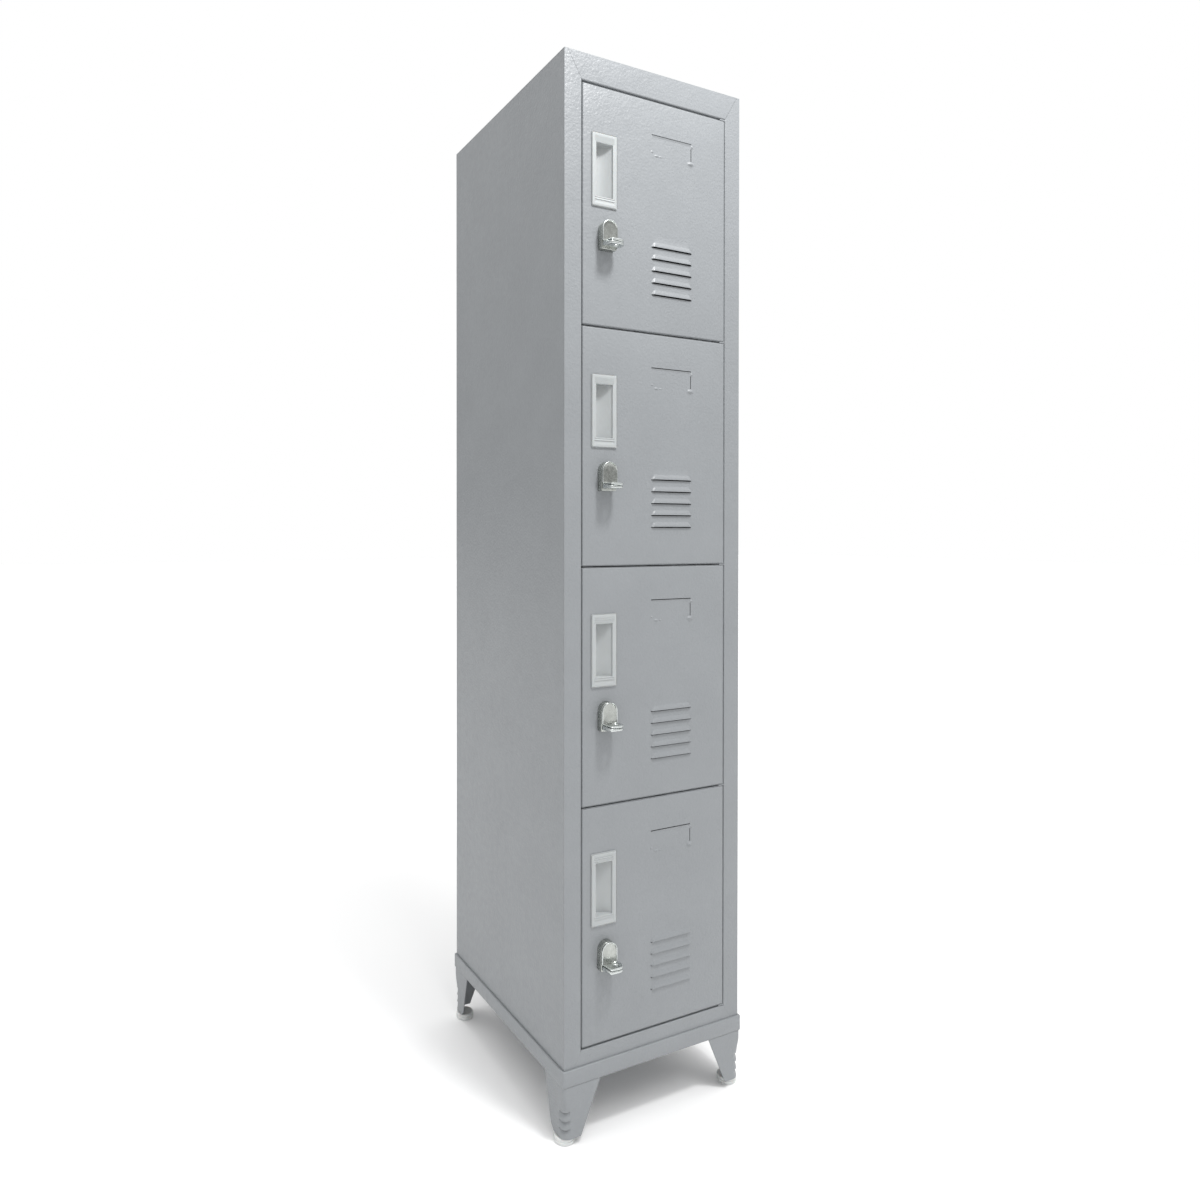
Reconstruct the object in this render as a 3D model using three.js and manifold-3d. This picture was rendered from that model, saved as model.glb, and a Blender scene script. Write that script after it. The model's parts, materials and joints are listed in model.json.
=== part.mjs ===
// Four-door steel locker on a separate stand, as an assembly of its real pieces.
// Millimetres, +Z up, the doors face -Y, the hinges are on the +X side.

import * as THREE from "three";
import { mergeVertices } from "three/addons/utils/BufferGeometryUtils.js";
import Module from "manifold-3d";

const wasm = await Module();
wasm.setup();

// ---------------------------------------------------------------- driving dimensions

const WIDTH = 380;
const DEPTH = 450;
const HEIGHT = 1850;
const SHEET = 1;
const BEND = 1.5; // centre-line radius of every fold
const FIT = 0.3; // air between neighbouring pieces

const STAND_TOP = 130;
const STAND_BAND = 28; // height of the stand's angle ring
const STAND_PROUD = 4; // how far the ring stands out around the cabinet
const RAIL_LEDGE = 20;
const RAIL_THICKNESS = 2;
const FOOT_HEIGHT = 12.7;
const FOOT_DIAMETER = 36;
const FOOT_PROUD = 3; // how far a foot stands out beyond the ring, to the side
const FOOT_SET_BACK = 22; // from the ring's front or back face in to the foot's centre

const JAMB = 34;
const JAMB_RETURN = 20;
const TOP_RAIL = 46;
const RAIL_RETURN = 18;
const BOTTOM_OPENING = 156; // height of the door opening's lower edge
const MITRE_INSET = 6; // the mitred seams end this far in from the outer edge
const SHELF_LIP = 20;
const DOOR_COUNT = 4;
const DOOR_GAP = 4;
const DOOR_SIDE_GAP = 2;
const DOOR_THICKNESS = 19;
const DOOR_CORNER = 2;
const PIVOT_INSET = 5; // hinge axis, in from the door's right edge and from its face
const PIN_RADIUS = 3;
const PIN_CLEARANCE = 0.1;
const PIN_LENGTH = 7;
const BRACKET_THICKNESS = 2;
const BRACKET_REACH = 12; // visible length of a pivot bracket beyond the jamb

// Places on a door, across from its left edge and down from its top edge.
const CUP = { left: 18, top: 80, width: 50, height: 124, proud: 2, depth: 14 };
const CUP_MOUTH = { width: 34, height: 92 };
const CARD = { left: 143, top: 58, width: 88, height: 38, slit: 2.4 };
const LOUVRE = { left: 143, width: 89, firstBottom: 256, pitch: 21, count: 5, height: 10, proud: 3 };
const LOCK = { across: 46, down: 245 };

const LOCK_WIDTH = 31;
const HOUSING_DEPTH = 12; // the lock's fixed housing, in front of the door
const HOUSING_FOOT = 34.5; // from the spindle down to the housing's flat bottom
const LUG_RISE = 4; // from the housing's bottom up to its lug
const LUG_THICKNESS = 4.5;
const LUG_REACH = 34; // how far the lugs stand out from the door
const LUG_LEFT = 14.5; // from the spindle to the fixed lug's left and right edges
const LUG_RIGHT = 19.5;
const HASP_LUG_LEFT = 12.5;
const LUG_SLANT = 4.5; // how far the lugs' left sides lean in by their outer corner
const LUG_NOSE_LEFT = 3; // radii of the lugs' two outer corners
const LUG_NOSE_RIGHT = 11;
const PADLOCK_HOLE = 9;
const PADLOCK_OFFSET = 6; // from the spindle to the right
const PADLOCK_WALL = 4.5; // between the padlock hole and the lugs' outer edge
const BARREL_RADIUS = 9;
const BARREL_LENGTH = 18;
const SPINDLE_RADIUS = 5;
const NUT_ACROSS_FLATS = 24;
const NUT_THICKNESS = 4;
const HASP_THICKNESS = 3.5;
const HASP_RIM = 2;
const TANG = 6; // the spindle's square end
const SCREW_RADIUS = 1.5;
const SCREW_LENGTH = 5;
const SCREW_HEAD_RADIUS = 5.5;
const SCREW_HEAD = 2.5;
const CAM_CLEARANCE = 1.5; // between the jamb's return and the cam behind it
const CAM_CHAMFER = 3;
const CAM_THICKNESS = 2;
const CAM_WIDTH = 16;
const CAM_REACH = 58;

// ---------------------------------------------------------------- worked-out places

const HALF_WIDTH = WIDTH / 2;
const HALF_DEPTH = DEPTH / 2;
const SHIFT_Y = (LUG_REACH - STAND_PROUD) / 2; // centres the whole object's box on the Y axis
const FRONT = -HALF_DEPTH + SHIFT_Y;
const BACK = HALF_DEPTH + SHIFT_Y;
const RING_BOTTOM = STAND_TOP - STAND_BAND;
const BODY_BOTTOM = RING_BOTTOM + RAIL_THICKNESS + FIT;
const OPENING_HALF = HALF_WIDTH - JAMB;
const OPENING_TOP = HEIGHT - TOP_RAIL;
const DOOR_LEFT = -OPENING_HALF + DOOR_SIDE_GAP;
const DOOR_RIGHT = OPENING_HALF - DOOR_SIDE_GAP;
const DOOR_HEIGHT = (OPENING_TOP - BOTTOM_OPENING - (DOOR_COUNT + 1) * DOOR_GAP) / DOOR_COUNT;
const DOOR_PITCH = DOOR_HEIGHT + DOOR_GAP;
const PIVOT_X = DOOR_RIGHT - PIVOT_INSET;
const PIVOT_Y = FRONT + PIVOT_INSET;
const CAM_FRONT = FRONT + JAMB_RETURN + CAM_CLEARANCE;
const SHELF_FRONT = FRONT + JAMB_RETURN + FIT;
const BACK_PANEL_FRONT = BACK - SHEET;
const UNDER_TOP = HEIGHT - SHEET - FIT;
const ROUND_STEPS = 32;

const doorTop = (index) => OPENING_TOP - DOOR_GAP - index * DOOR_PITCH;
const gapMiddle = (index) => OPENING_TOP - DOOR_GAP / 2 - index * DOOR_PITCH;

// ---------------------------------------------------------------- materials

const PAINT = new THREE.MeshStandardMaterial({ color: 0xadb1b4, roughness: 0.55, metalness: 0.1 });
const WHITE = new THREE.MeshStandardMaterial({ color: 0xe4e7e6, roughness: 0.4, metalness: 0 });
const ZINC = new THREE.MeshStandardMaterial({ color: 0xb7b8b4, roughness: 0.3, metalness: 0.9 });
const STEEL = new THREE.MeshStandardMaterial({ color: 0xb4b6b8, roughness: 0.4, metalness: 0.9 });

// ---------------------------------------------------------------- solids and booleans

function solid(geometry) {
  const bare = geometry.index ? geometry.clone() : geometry;
  bare.deleteAttribute("normal");
  bare.deleteAttribute("uv");
  const merged = mergeVertices(bare, 1e-4);
  return new wasm.Manifold(
    new wasm.Mesh({
      numProp: 3,
      vertProperties: new Float32Array(merged.attributes.position.array),
      triVerts: new Uint32Array(merged.index.array),
    }),
  );
}

function geometryOf(manifold) {
  const mesh = manifold.getMesh();
  const geometry = new THREE.BufferGeometry();
  geometry.setAttribute("position", new THREE.BufferAttribute(new Float32Array(mesh.vertProperties), 3));
  geometry.setIndex(new THREE.BufferAttribute(new Uint32Array(mesh.triVerts), 1));
  geometry.computeVertexNormals();
  return geometry;
}

const group = new THREE.Group();

function addNode(name, manifold, material) {
  const mesh = new THREE.Mesh(geometryOf(manifold), material);
  mesh.name = name;
  group.add(mesh);
}

// A box given by its lowest and highest corners.
function block(low, high) {
  const size = high.map((value, axis) => value - low[axis]);
  const geometry = new THREE.BoxGeometry(...size);
  geometry.translate(...low.map((value, axis) => value + size[axis] / 2));
  return solid(geometry);
}

// An outline in plan (X, Y), raised from one height to another.
function raised(shape, bottom, top, steps = 4) {
  const geometry = new THREE.ExtrudeGeometry(shape, {
    depth: top - bottom,
    bevelEnabled: false,
    curveSegments: steps,
  });
  geometry.translate(0, 0, bottom);
  return solid(geometry);
}

// An outline drawn from the front (X, Z), pushed back from one Y to another.
function pushed(shape, near, far, steps = 4) {
  const geometry = new THREE.ExtrudeGeometry(shape, {
    depth: far - near,
    bevelEnabled: false,
    curveSegments: steps,
  });
  geometry.rotateX(Math.PI / 2);
  geometry.translate(0, far, 0);
  return solid(geometry);
}

// An outline drawn from the right side (Y, Z), drawn out from one X to another.
function drawnOut(shape, left, right, steps = 4) {
  const geometry = new THREE.ExtrudeGeometry(shape, {
    depth: right - left,
    bevelEnabled: false,
    curveSegments: steps,
  });
  geometry.rotateX(Math.PI / 2);
  geometry.rotateZ(Math.PI / 2);
  geometry.translate(left, 0, 0);
  return solid(geometry);
}

// A round bar along Y or Z, between two places on its axis.
function roundBar(axis, centre, radius, low, high, sides = ROUND_STEPS) {
  const geometry = new THREE.CylinderGeometry(radius, radius, high - low, sides);
  if (axis === "z") {
    geometry.rotateX(Math.PI / 2);
    geometry.translate(centre[0], centre[1], (low + high) / 2);
  } else {
    geometry.translate(centre[0], (low + high) / 2, centre[1]);
  }
  return solid(geometry);
}

function outline(points) {
  return new THREE.Shape(points.map(([x, y]) => new THREE.Vector2(x, y)));
}

// The outline of a strip of sheet folded along a centre line, with round folds.
function foldedStrip(points, thickness, bend = BEND, steps = 3) {
  const line = points.map(([x, y]) => new THREE.Vector2(x, y));
  const left = [];
  const right = [];
  const offset = (point, normal, side) => point.clone().addScaledVector(normal, (side * thickness) / 2);
  const normalOf = (a, b) => new THREE.Vector2(a.y - b.y, b.x - a.x).normalize();
  const addPair = (point, normal) => {
    left.push(offset(point, normal, 1));
    right.push(offset(point, normal, -1));
  };
  addPair(line[0], normalOf(line[0], line[1]));
  for (let i = 1; i < line.length - 1; i += 1) {
    const before = normalOf(line[i - 1], line[i]);
    const after = normalOf(line[i], line[i + 1]);
    const turn = Math.atan2(before.x * after.y - before.y * after.x, before.dot(after));
    const setback = bend * Math.tan(Math.abs(turn) / 2);
    const into = line[i].clone().sub(line[i - 1]).normalize();
    const start = line[i].clone().addScaledVector(into, -setback);
    const centre = start.clone().addScaledVector(before, Math.sign(turn) * bend);
    for (let step = 0; step <= steps; step += 1) {
      const normal = before.clone().rotateAround(new THREE.Vector2(), (turn * step) / steps);
      addPair(centre.clone().addScaledVector(normal, -Math.sign(turn) * bend), normal);
    }
  }
  const last = line.length - 1;
  addPair(line[last], normalOf(line[last - 1], line[last]));
  return new THREE.Shape([...left, ...right.reverse()]);
}

// The same solid on the other side of the X = 0 plane.
const mirroredX = (manifold) => manifold.mirror([1, 0, 0]);

// ---------------------------------------------------------------- cabinet

// Everything above the mitred seam of the frame's upper left corner, drawn from the front.
function mitreOutline(grow) {
  const cornerX = -OPENING_HALF - grow;
  const outerX = -HALF_WIDTH + MITRE_INSET - grow;
  return outline([
    [cornerX, OPENING_TOP - FIT],
    [outerX, HEIGHT],
    [outerX, HEIGHT + JAMB],
    [0, HEIGHT + JAMB],
    [0, OPENING_TOP - FIT],
  ]);
}

// The same for the lower left corner: everything below and inside the seam.
function lowerMitreOutline(grow) {
  const cornerX = -OPENING_HALF - grow;
  const outerX = -HALF_WIDTH + MITRE_INSET - grow;
  return outline([
    [cornerX, BOTTOM_OPENING + FIT],
    [0, BOTTOM_OPENING + FIT],
    [0, BODY_BOTTOM - JAMB],
    [outerX, BODY_BOTTOM - JAMB],
    [outerX, BODY_BOTTOM],
  ]);
}

// The left jamb of the front frame: its face and the return behind it, cut along both seams.
function jamb() {
  const half = SHEET / 2;
  const plan = foldedStrip(
    [
      [-OPENING_HALF - half, FRONT + JAMB_RETURN],
      [-OPENING_HALF - half, FRONT + half],
      [-HALF_WIDTH, FRONT + half],
    ],
    SHEET,
  );
  const upperSeam = pushed(mitreOutline(0), FRONT - 1, FRONT + JAMB_RETURN + 1);
  const lowerSeam = pushed(lowerMitreOutline(0), FRONT - 1, FRONT + JAMB_RETURN + 1);
  return raised(plan, BODY_BOTTOM, HEIGHT).subtract(upperSeam).subtract(lowerSeam);
}

// A rail of the front frame between two mitred seams: its face and the return behind it.
function frameRail(outerZ, innerZ, seamOutline) {
  const inward = Math.sign(innerZ - outerZ) * (SHEET / 2);
  const section = foldedStrip(
    [
      [FRONT + SHEET / 2, outerZ],
      [FRONT + SHEET / 2, innerZ - inward],
      [FRONT + RAIL_RETURN, innerZ - inward],
    ],
    SHEET,
  );
  const whole = drawnOut(section, -HALF_WIDTH, HALF_WIDTH);
  const leftHalf = pushed(seamOutline(-FIT), FRONT - 2, FRONT + 2 * BEND);
  const face = whole.intersect(leftHalf.add(mirroredX(leftHalf)));
  const returnZone = block(
    [-OPENING_HALF + FIT, FRONT + BEND, 0],
    [OPENING_HALF - FIT, FRONT + JAMB_RETURN, HEIGHT],
  );
  return face.add(whole.intersect(returnZone));
}

// The sheets behind the front frame. Each is flat, and they meet edge to face.
const BEHIND_FRAME = FRONT + SHEET + FIT;
const INNER_HALF = HALF_WIDTH - SHEET - FIT;

function sidePanel() {
  return block(
    [-HALF_WIDTH, BEHIND_FRAME, BODY_BOTTOM],
    [-HALF_WIDTH + SHEET, BACK_PANEL_FRONT - FIT, UNDER_TOP],
  );
}

function backPanel() {
  return block([-HALF_WIDTH, BACK_PANEL_FRONT, BODY_BOTTOM], [HALF_WIDTH, BACK, UNDER_TOP]);
}

function topPanel() {
  return block([-HALF_WIDTH, BEHIND_FRAME, HEIGHT - SHEET], [HALF_WIDTH, BACK, HEIGHT]);
}

function bottomPanel() {
  return block(
    [-INNER_HALF, SHELF_FRONT, BOTTOM_OPENING - SHEET],
    [INNER_HALF, BACK_PANEL_FRONT - FIT, BOTTOM_OPENING],
  );
}

function shelf(height) {
  const half = SHEET / 2;
  const section = foldedStrip(
    [
      [SHELF_FRONT + half, height - SHELF_LIP],
      [SHELF_FRONT + half, height],
      [BACK_PANEL_FRONT - FIT, height],
    ],
    SHEET,
  );
  return drawnOut(section, -INNER_HALF, INNER_HALF);
}

// A tab in the gap between two doors, with the stub pins that the doors turn on.
function pivotBracket(index) {
  const middle = gapMiddle(index);
  const low = middle - BRACKET_THICKNESS / 2;
  const high = middle + BRACKET_THICKNESS / 2;
  const left = OPENING_HALF - BRACKET_REACH;
  let bracket = block([left, FRONT + FIT, low], [OPENING_HALF - FIT, FRONT + JAMB_RETURN - FIT, high]);
  if (index > 0) {
    bracket = bracket.add(roundBar("z", [PIVOT_X, PIVOT_Y], PIN_RADIUS, middle, high + PIN_LENGTH));
  }
  if (index < DOOR_COUNT) {
    bracket = bracket.add(roundBar("z", [PIVOT_X, PIVOT_Y], PIN_RADIUS, low - PIN_LENGTH, middle));
  }
  return bracket;
}

addNode("side_panel_left", sidePanel(), PAINT);
addNode("side_panel_right", mirroredX(sidePanel()), PAINT);
addNode("back_panel", backPanel(), PAINT);
addNode("top_panel", topPanel(), PAINT);
addNode("bottom_panel", bottomPanel(), PAINT);
addNode("frame_jamb_left", jamb(), PAINT);
addNode("frame_jamb_right", mirroredX(jamb()), PAINT);
addNode("frame_rail_top", frameRail(HEIGHT, OPENING_TOP, mitreOutline), PAINT);
addNode("frame_rail_bottom", frameRail(BODY_BOTTOM, BOTTOM_OPENING, lowerMitreOutline), PAINT);
for (let index = 1; index < DOOR_COUNT; index += 1) {
  addNode(`shelf_${index}`, shelf(gapMiddle(index)), PAINT);
}
for (let index = 0; index <= DOOR_COUNT; index += 1) {
  addNode(`pivot_bracket_${index + 1}`, pivotBracket(index), PAINT);
}

// ---------------------------------------------------------------- stand

const RING_HALF_X = HALF_WIDTH + STAND_PROUD;
const RING_HALF_Y = HALF_DEPTH + STAND_PROUD;
const BAND_THICKNESS = STAND_PROUD - FIT;

// One rail of the angle ring, along X at the front of a ring of the given half sizes.
function ringRail(halfLength, halfAcross) {
  const reach = BAND_THICKNESS + RAIL_LEDGE;
  const section = outline([
    [-halfAcross, RING_BOTTOM],
    [-halfAcross + reach, RING_BOTTOM],
    [-halfAcross + reach, RING_BOTTOM + RAIL_THICKNESS],
    [-halfAcross + BAND_THICKNESS, RING_BOTTOM + RAIL_THICKNESS],
    [-halfAcross + BAND_THICKNESS, STAND_TOP],
    [-halfAcross, STAND_TOP],
  ]);
  const inside = 2 * reach;
  const mitred = outline([
    [-halfLength, -halfAcross],
    [halfLength - FIT, -halfAcross],
    [halfLength - FIT - inside, -halfAcross + inside],
    [-halfLength + inside, -halfAcross + inside],
  ]);
  return drawnOut(section, -halfLength, halfLength).intersect(raised(mitred, 0, HEIGHT));
}

const centred = (manifold) => manifold.translate([0, SHIFT_Y, 0]);
addNode("stand_rail_front", centred(ringRail(RING_HALF_X, RING_HALF_Y)), PAINT);
addNode("stand_rail_right", centred(ringRail(RING_HALF_Y, RING_HALF_X).rotate([0, 0, 90])), PAINT);
addNode("stand_rail_back", centred(ringRail(RING_HALF_X, RING_HALF_Y).rotate([0, 0, 180])), PAINT);
addNode("stand_rail_left", centred(ringRail(RING_HALF_Y, RING_HALF_X).rotate([0, 0, 270])), PAINT);

const LEG = {
  inset: 3,
  thickness: 2,
  bend: 5,
  frontTop: 72,
  frontBottom: 33,
  sideTop: 60,
  sideBottom: 38,
  frontChamfer: 1,
  sideChamfer: 9,
};
const LEG_TOP = RING_BOTTOM - FIT;
const LEG_BOTTOM = FOOT_HEIGHT + FIT;

// The front left leg: a bent sheet that gets narrower towards the foot.
function leg() {
  const half = LEG.thickness / 2;
  const outerX = -RING_HALF_X + LEG.inset;
  const outerY = -RING_HALF_Y + LEG.inset;
  const plan = foldedStrip(
    [
      [outerX + LEG.frontTop, outerY + half],
      [outerX + half, outerY + half],
      [outerX + half, outerY + LEG.sideTop],
    ],
    LEG.thickness,
    LEG.bend,
    5,
  );
  const taper = (start, top, bottom, chamfer) =>
    outline([
      [start - 1, LEG_BOTTOM],
      [start + bottom - chamfer, LEG_BOTTOM],
      [start + bottom, LEG_BOTTOM + chamfer],
      [start + top, LEG_TOP],
      [start - 1, LEG_TOP],
    ]);
  const frontOutline = taper(outerX, LEG.frontTop, LEG.frontBottom, LEG.frontChamfer);
  const sideOutline = taper(outerY, LEG.sideTop, LEG.sideBottom, LEG.sideChamfer);
  const frontTaper = pushed(frontOutline, outerY - 1, outerY + LEG.sideTop + 1);
  const sideTaper = drawnOut(sideOutline, outerX - 1, outerX + LEG.frontTop + 1);
  return raised(plan, LEG_BOTTOM, LEG_TOP).intersect(frontTaper).intersect(sideTaper);
}

const FOOT_CENTRE = { x: -RING_HALF_X - FOOT_PROUD + FOOT_DIAMETER / 2, y: -RING_HALF_Y + FOOT_SET_BACK };
const FOOT_RIM = 2;
const PLUG = 20;
const PLUG_HEIGHT = 16;

// The front left foot: a turned disc with a rim and a plug inside the leg's fold.
function foot() {
  const radius = FOOT_DIAMETER / 2;
  const profile = [
    [0, 0],
    [radius - FOOT_RIM, 0],
    [radius, FOOT_RIM],
    [radius, FOOT_HEIGHT - FOOT_RIM],
    [radius - FOOT_RIM, FOOT_HEIGHT],
    [0, FOOT_HEIGHT],
  ];
  const turned = new THREE.LatheGeometry(
    profile.map(([r, z]) => new THREE.Vector2(r, z)),
    ROUND_STEPS,
  );
  turned.rotateX(Math.PI / 2);
  turned.translate(FOOT_CENTRE.x, FOOT_CENTRE.y, 0);
  const inner = LEG.thickness + LEG.bend;
  const plugLow = [-RING_HALF_X + LEG.inset + inner, -RING_HALF_Y + LEG.inset + inner, FOOT_HEIGHT - 1];
  const plugHigh = [plugLow[0] + PLUG - inner, plugLow[1] + PLUG - inner, FOOT_HEIGHT + PLUG_HEIGHT];
  const plug = block(plugLow, plugHigh);
  return solid(turned).add(plug);
}

const corners = [
  ["front_left", (manifold) => manifold],
  ["front_right", mirroredX],
  ["back_left", (manifold) => manifold.mirror([0, 1, 0])],
  ["back_right", (manifold) => manifold.rotate([0, 0, 180])],
];
for (const [corner, place] of corners) {
  addNode(`leg_${corner}`, centred(place(leg())), PAINT);
  addNode(`foot_${corner}`, centred(place(foot())), WHITE);
}

// ---------------------------------------------------------------- doors

function roundedPlan(left, right, front, back, corner) {
  const shape = new THREE.Shape();
  shape.moveTo(left, back);
  shape.lineTo(left, front + corner);
  shape.absarc(left + corner, front + corner, corner, Math.PI, 1.5 * Math.PI, false);
  shape.lineTo(right - corner, front);
  shape.absarc(right - corner, front + corner, corner, 1.5 * Math.PI, 2 * Math.PI, false);
  shape.lineTo(right, back);
  return shape;
}

// The hood of one louvre, drawn from the side: it leans out of the door to an open lower edge.
function louvreHood(bottom, shell) {
  return outline([
    [FRONT + shell, bottom + LOUVRE.height - shell],
    [FRONT - LOUVRE.proud + shell, bottom + 0.35 * LOUVRE.height],
    [FRONT - LOUVRE.proud + shell, bottom],
    [FRONT + SHEET, bottom],
    [FRONT + SHEET, bottom + LOUVRE.height - shell],
  ]);
}

function doorPanel(top) {
  const bottom = top - DOOR_HEIGHT;
  const outer = raised(
    roundedPlan(DOOR_LEFT, DOOR_RIGHT, FRONT, FRONT + DOOR_THICKNESS, DOOR_CORNER),
    bottom,
    top,
  );
  const inner = raised(
    roundedPlan(
      DOOR_LEFT + SHEET,
      DOOR_RIGHT - SHEET,
      FRONT + SHEET,
      FRONT + DOOR_THICKNESS + 1,
      DOOR_CORNER - SHEET,
    ),
    bottom + SHEET,
    top - SHEET,
  );
  let door = outer.subtract(inner);

  const behind = FRONT + 2 * SHEET;
  const cutThrough = (left, right, low, high) => block([left, FRONT - 1, low], [right, behind, high]);
  const cupLeft = DOOR_LEFT + CUP.left + (CUP.width - CUP_MOUTH.width) / 2 - SHEET - FIT;
  const cupTop = top - CUP.top - (CUP.height - CUP_MOUTH.height) / 2 + SHEET + FIT;
  const tub = SHEET + FIT;
  door = door.subtract(
    cutThrough(cupLeft, cupLeft + CUP_MOUTH.width + 2 * tub, cupTop - CUP_MOUTH.height - 2 * tub, cupTop),
  );

  const cardLeft = DOOR_LEFT + CARD.left;
  const cardTop = top - CARD.top;
  door = door.subtract(cutThrough(cardLeft, cardLeft + CARD.width, cardTop - CARD.slit, cardTop));
  door = door.subtract(
    cutThrough(
      cardLeft + CARD.width - CARD.slit,
      cardLeft + CARD.width,
      cardTop - CARD.height,
      cardTop - CARD.height / 3,
    ),
  );

  for (let index = 0; index < LOUVRE.count; index += 1) {
    const low = top - LOUVRE.firstBottom - index * LOUVRE.pitch;
    const left = DOOR_LEFT + LOUVRE.left;
    const right = left + LOUVRE.width;
    const hood = drawnOut(louvreHood(low, 0), left, right);
    const hollow = drawnOut(louvreHood(low, SHEET), left + SHEET, right - SHEET);
    const slot = block(
      [left + SHEET, FRONT - LOUVRE.proud + SHEET, low - 1],
      [right - SHEET, FRONT + 2 * SHEET, low + 2],
    );
    door = door.add(hood).subtract(hollow).subtract(slot);
  }

  const spindle = [DOOR_LEFT + LOCK.across, top - LOCK.down];
  door = door.subtract(roundBar("y", spindle, BARREL_RADIUS + FIT, FRONT - 1, FRONT + 2 * SHEET));
  const pinHole = roundBar("z", [PIVOT_X, PIVOT_Y], PIN_RADIUS + PIN_CLEARANCE, bottom - 1, top + 1);
  return door.subtract(pinHole);
}

// A handle cup: a face plate with a tub behind it whose floor slopes up to the right.
function handleCup(top) {
  const left = DOOR_LEFT + CUP.left;
  const high = top - CUP.top;
  const mouthLeft = left + (CUP.width - CUP_MOUTH.width) / 2;
  const mouthRight = mouthLeft + CUP_MOUTH.width;
  const mouthHigh = high - (CUP.height - CUP_MOUTH.height) / 2;
  const mouthLow = mouthHigh - CUP_MOUTH.height;
  const plateBack = FRONT - FIT;
  const plate = block(
    [left, FRONT - CUP.proud - FIT, high - CUP.height],
    [left + CUP.width, plateBack, high],
  );
  const tubPlan = (wall) => {
    const shape = new THREE.Shape();
    const deep = FRONT + CUP.depth + wall;
    const near = wall ? plateBack - CUP.proud / 2 : FRONT - CUP.proud - 1;
    shape.moveTo(mouthLeft - wall, near);
    shape.lineTo(mouthLeft - wall, deep);
    shape.lineTo(mouthLeft + 0.35 * CUP_MOUTH.width, deep);
    shape.quadraticCurveTo(
      mouthLeft + 0.75 * CUP_MOUTH.width,
      deep,
      mouthRight + wall,
      FRONT + SHEET + 2 * wall,
    );
    shape.lineTo(mouthRight + wall, near);
    return shape;
  };
  const tub = raised(tubPlan(SHEET), mouthLow - SHEET, mouthHigh + SHEET, 6);
  const recess = raised(tubPlan(0), mouthLow, mouthHigh, 6);
  return plate.add(tub).subtract(recess);
}

// ---------------------------------------------------------------- hasp locks

const HASP_BACK = FRONT - HOUSING_DEPTH - FIT;
const HASP_FRONT = HASP_BACK - HASP_THICKNESS;
const FIXED_LUG_TOP = HOUSING_FOOT - LUG_RISE - LUG_THICKNESS; // below the spindle, like the next
const HASP_LUG_RADIUS = FIXED_LUG_TOP - FIT;
const HASP_LUG_TOP = HASP_LUG_RADIUS - LUG_THICKNESS;
const CAM_BACK = CAM_FRONT + CAM_THICKNESS;

// The front view of the lock: round at the top about the spindle, straight sides, a flat foot.
function lockFace(spindle, halfWidth, foot) {
  const [x, z] = spindle;
  const shape = new THREE.Shape();
  shape.moveTo(x + halfWidth, z - foot);
  shape.lineTo(x + halfWidth, z);
  shape.absarc(x, z, halfWidth, 0, Math.PI, false);
  shape.lineTo(x - halfWidth, z - foot);
  return shape;
}

// The plan of a lug: a slanting left side out to a tight corner, and a wide right corner.
function lugPlan(x, left, rear) {
  const nose = FRONT - LUG_REACH;
  const leftRound = LUG_NOSE_LEFT;
  const rightRound = LUG_NOSE_RIGHT;
  const right = x + LUG_RIGHT;
  const noseLeft = x - LUG_LEFT + LUG_SLANT;
  const shape = new THREE.Shape();
  shape.moveTo(x - left, rear);
  shape.lineTo(x - left, HASP_FRONT - 1);
  shape.absarc(noseLeft + leftRound, nose + leftRound, leftRound, Math.PI, 1.5 * Math.PI, false);
  shape.lineTo(right - rightRound, nose);
  shape.absarc(right - rightRound, nose + rightRound, rightRound, 1.5 * Math.PI, 2 * Math.PI, false);
  shape.lineTo(right, HASP_FRONT);
  shape.lineTo(x + LOCK_WIDTH / 2, rear);
  return shape;
}

function padlockHole(spindle) {
  const [x, z] = spindle;
  const radius = PADLOCK_HOLE / 2;
  const centre = [x + PADLOCK_OFFSET, FRONT - LUG_REACH + PADLOCK_WALL + radius];
  return roundBar("z", centre, radius, z - HOUSING_FOOT, z - HASP_LUG_TOP + 1);
}

function lockHousing(spindle) {
  const [x, z] = spindle;
  const face = lockFace(spindle, LOCK_WIDTH / 2, HOUSING_FOOT);
  const body = pushed(face, FRONT - HOUSING_DEPTH, FRONT - FIT, 8);
  const barrel = roundBar("y", spindle, BARREL_RADIUS, FRONT - 1, FRONT + BARREL_LENGTH);
  const bore = roundBar("y", spindle, SPINDLE_RADIUS + FIT, FRONT - LUG_REACH, FRONT + BARREL_LENGTH + 1);
  return body.add(fixedLug(spindle)).add(barrel).subtract(padlockHole(spindle)).subtract(bore);
}

// The housing's lug. Left of the spindle its top rises to follow the circle that the hasp swings in.
function fixedLug(spindle) {
  const [x, z] = spindle;
  const plan = lugPlan(x, LUG_LEFT, FRONT - HOUSING_DEPTH + 1);
  const bottom = z - FIXED_LUG_TOP - LUG_THICKNESS;
  const flat = raised(plan, bottom, z - FIXED_LUG_TOP, 6);
  const near = FRONT - LUG_REACH - 1;
  const leftHalf = block([x - LOCK_WIDTH, near, bottom], [x, FRONT, z - HASP_LUG_TOP]);
  const swing = roundBar("y", spindle, FIXED_LUG_TOP, near - 1, FRONT + 1, 2 * ROUND_STEPS);
  const rise = raised(plan, bottom, z - HASP_LUG_TOP, 6).intersect(leftHalf).subtract(swing);
  return flat.add(rise);
}

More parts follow.
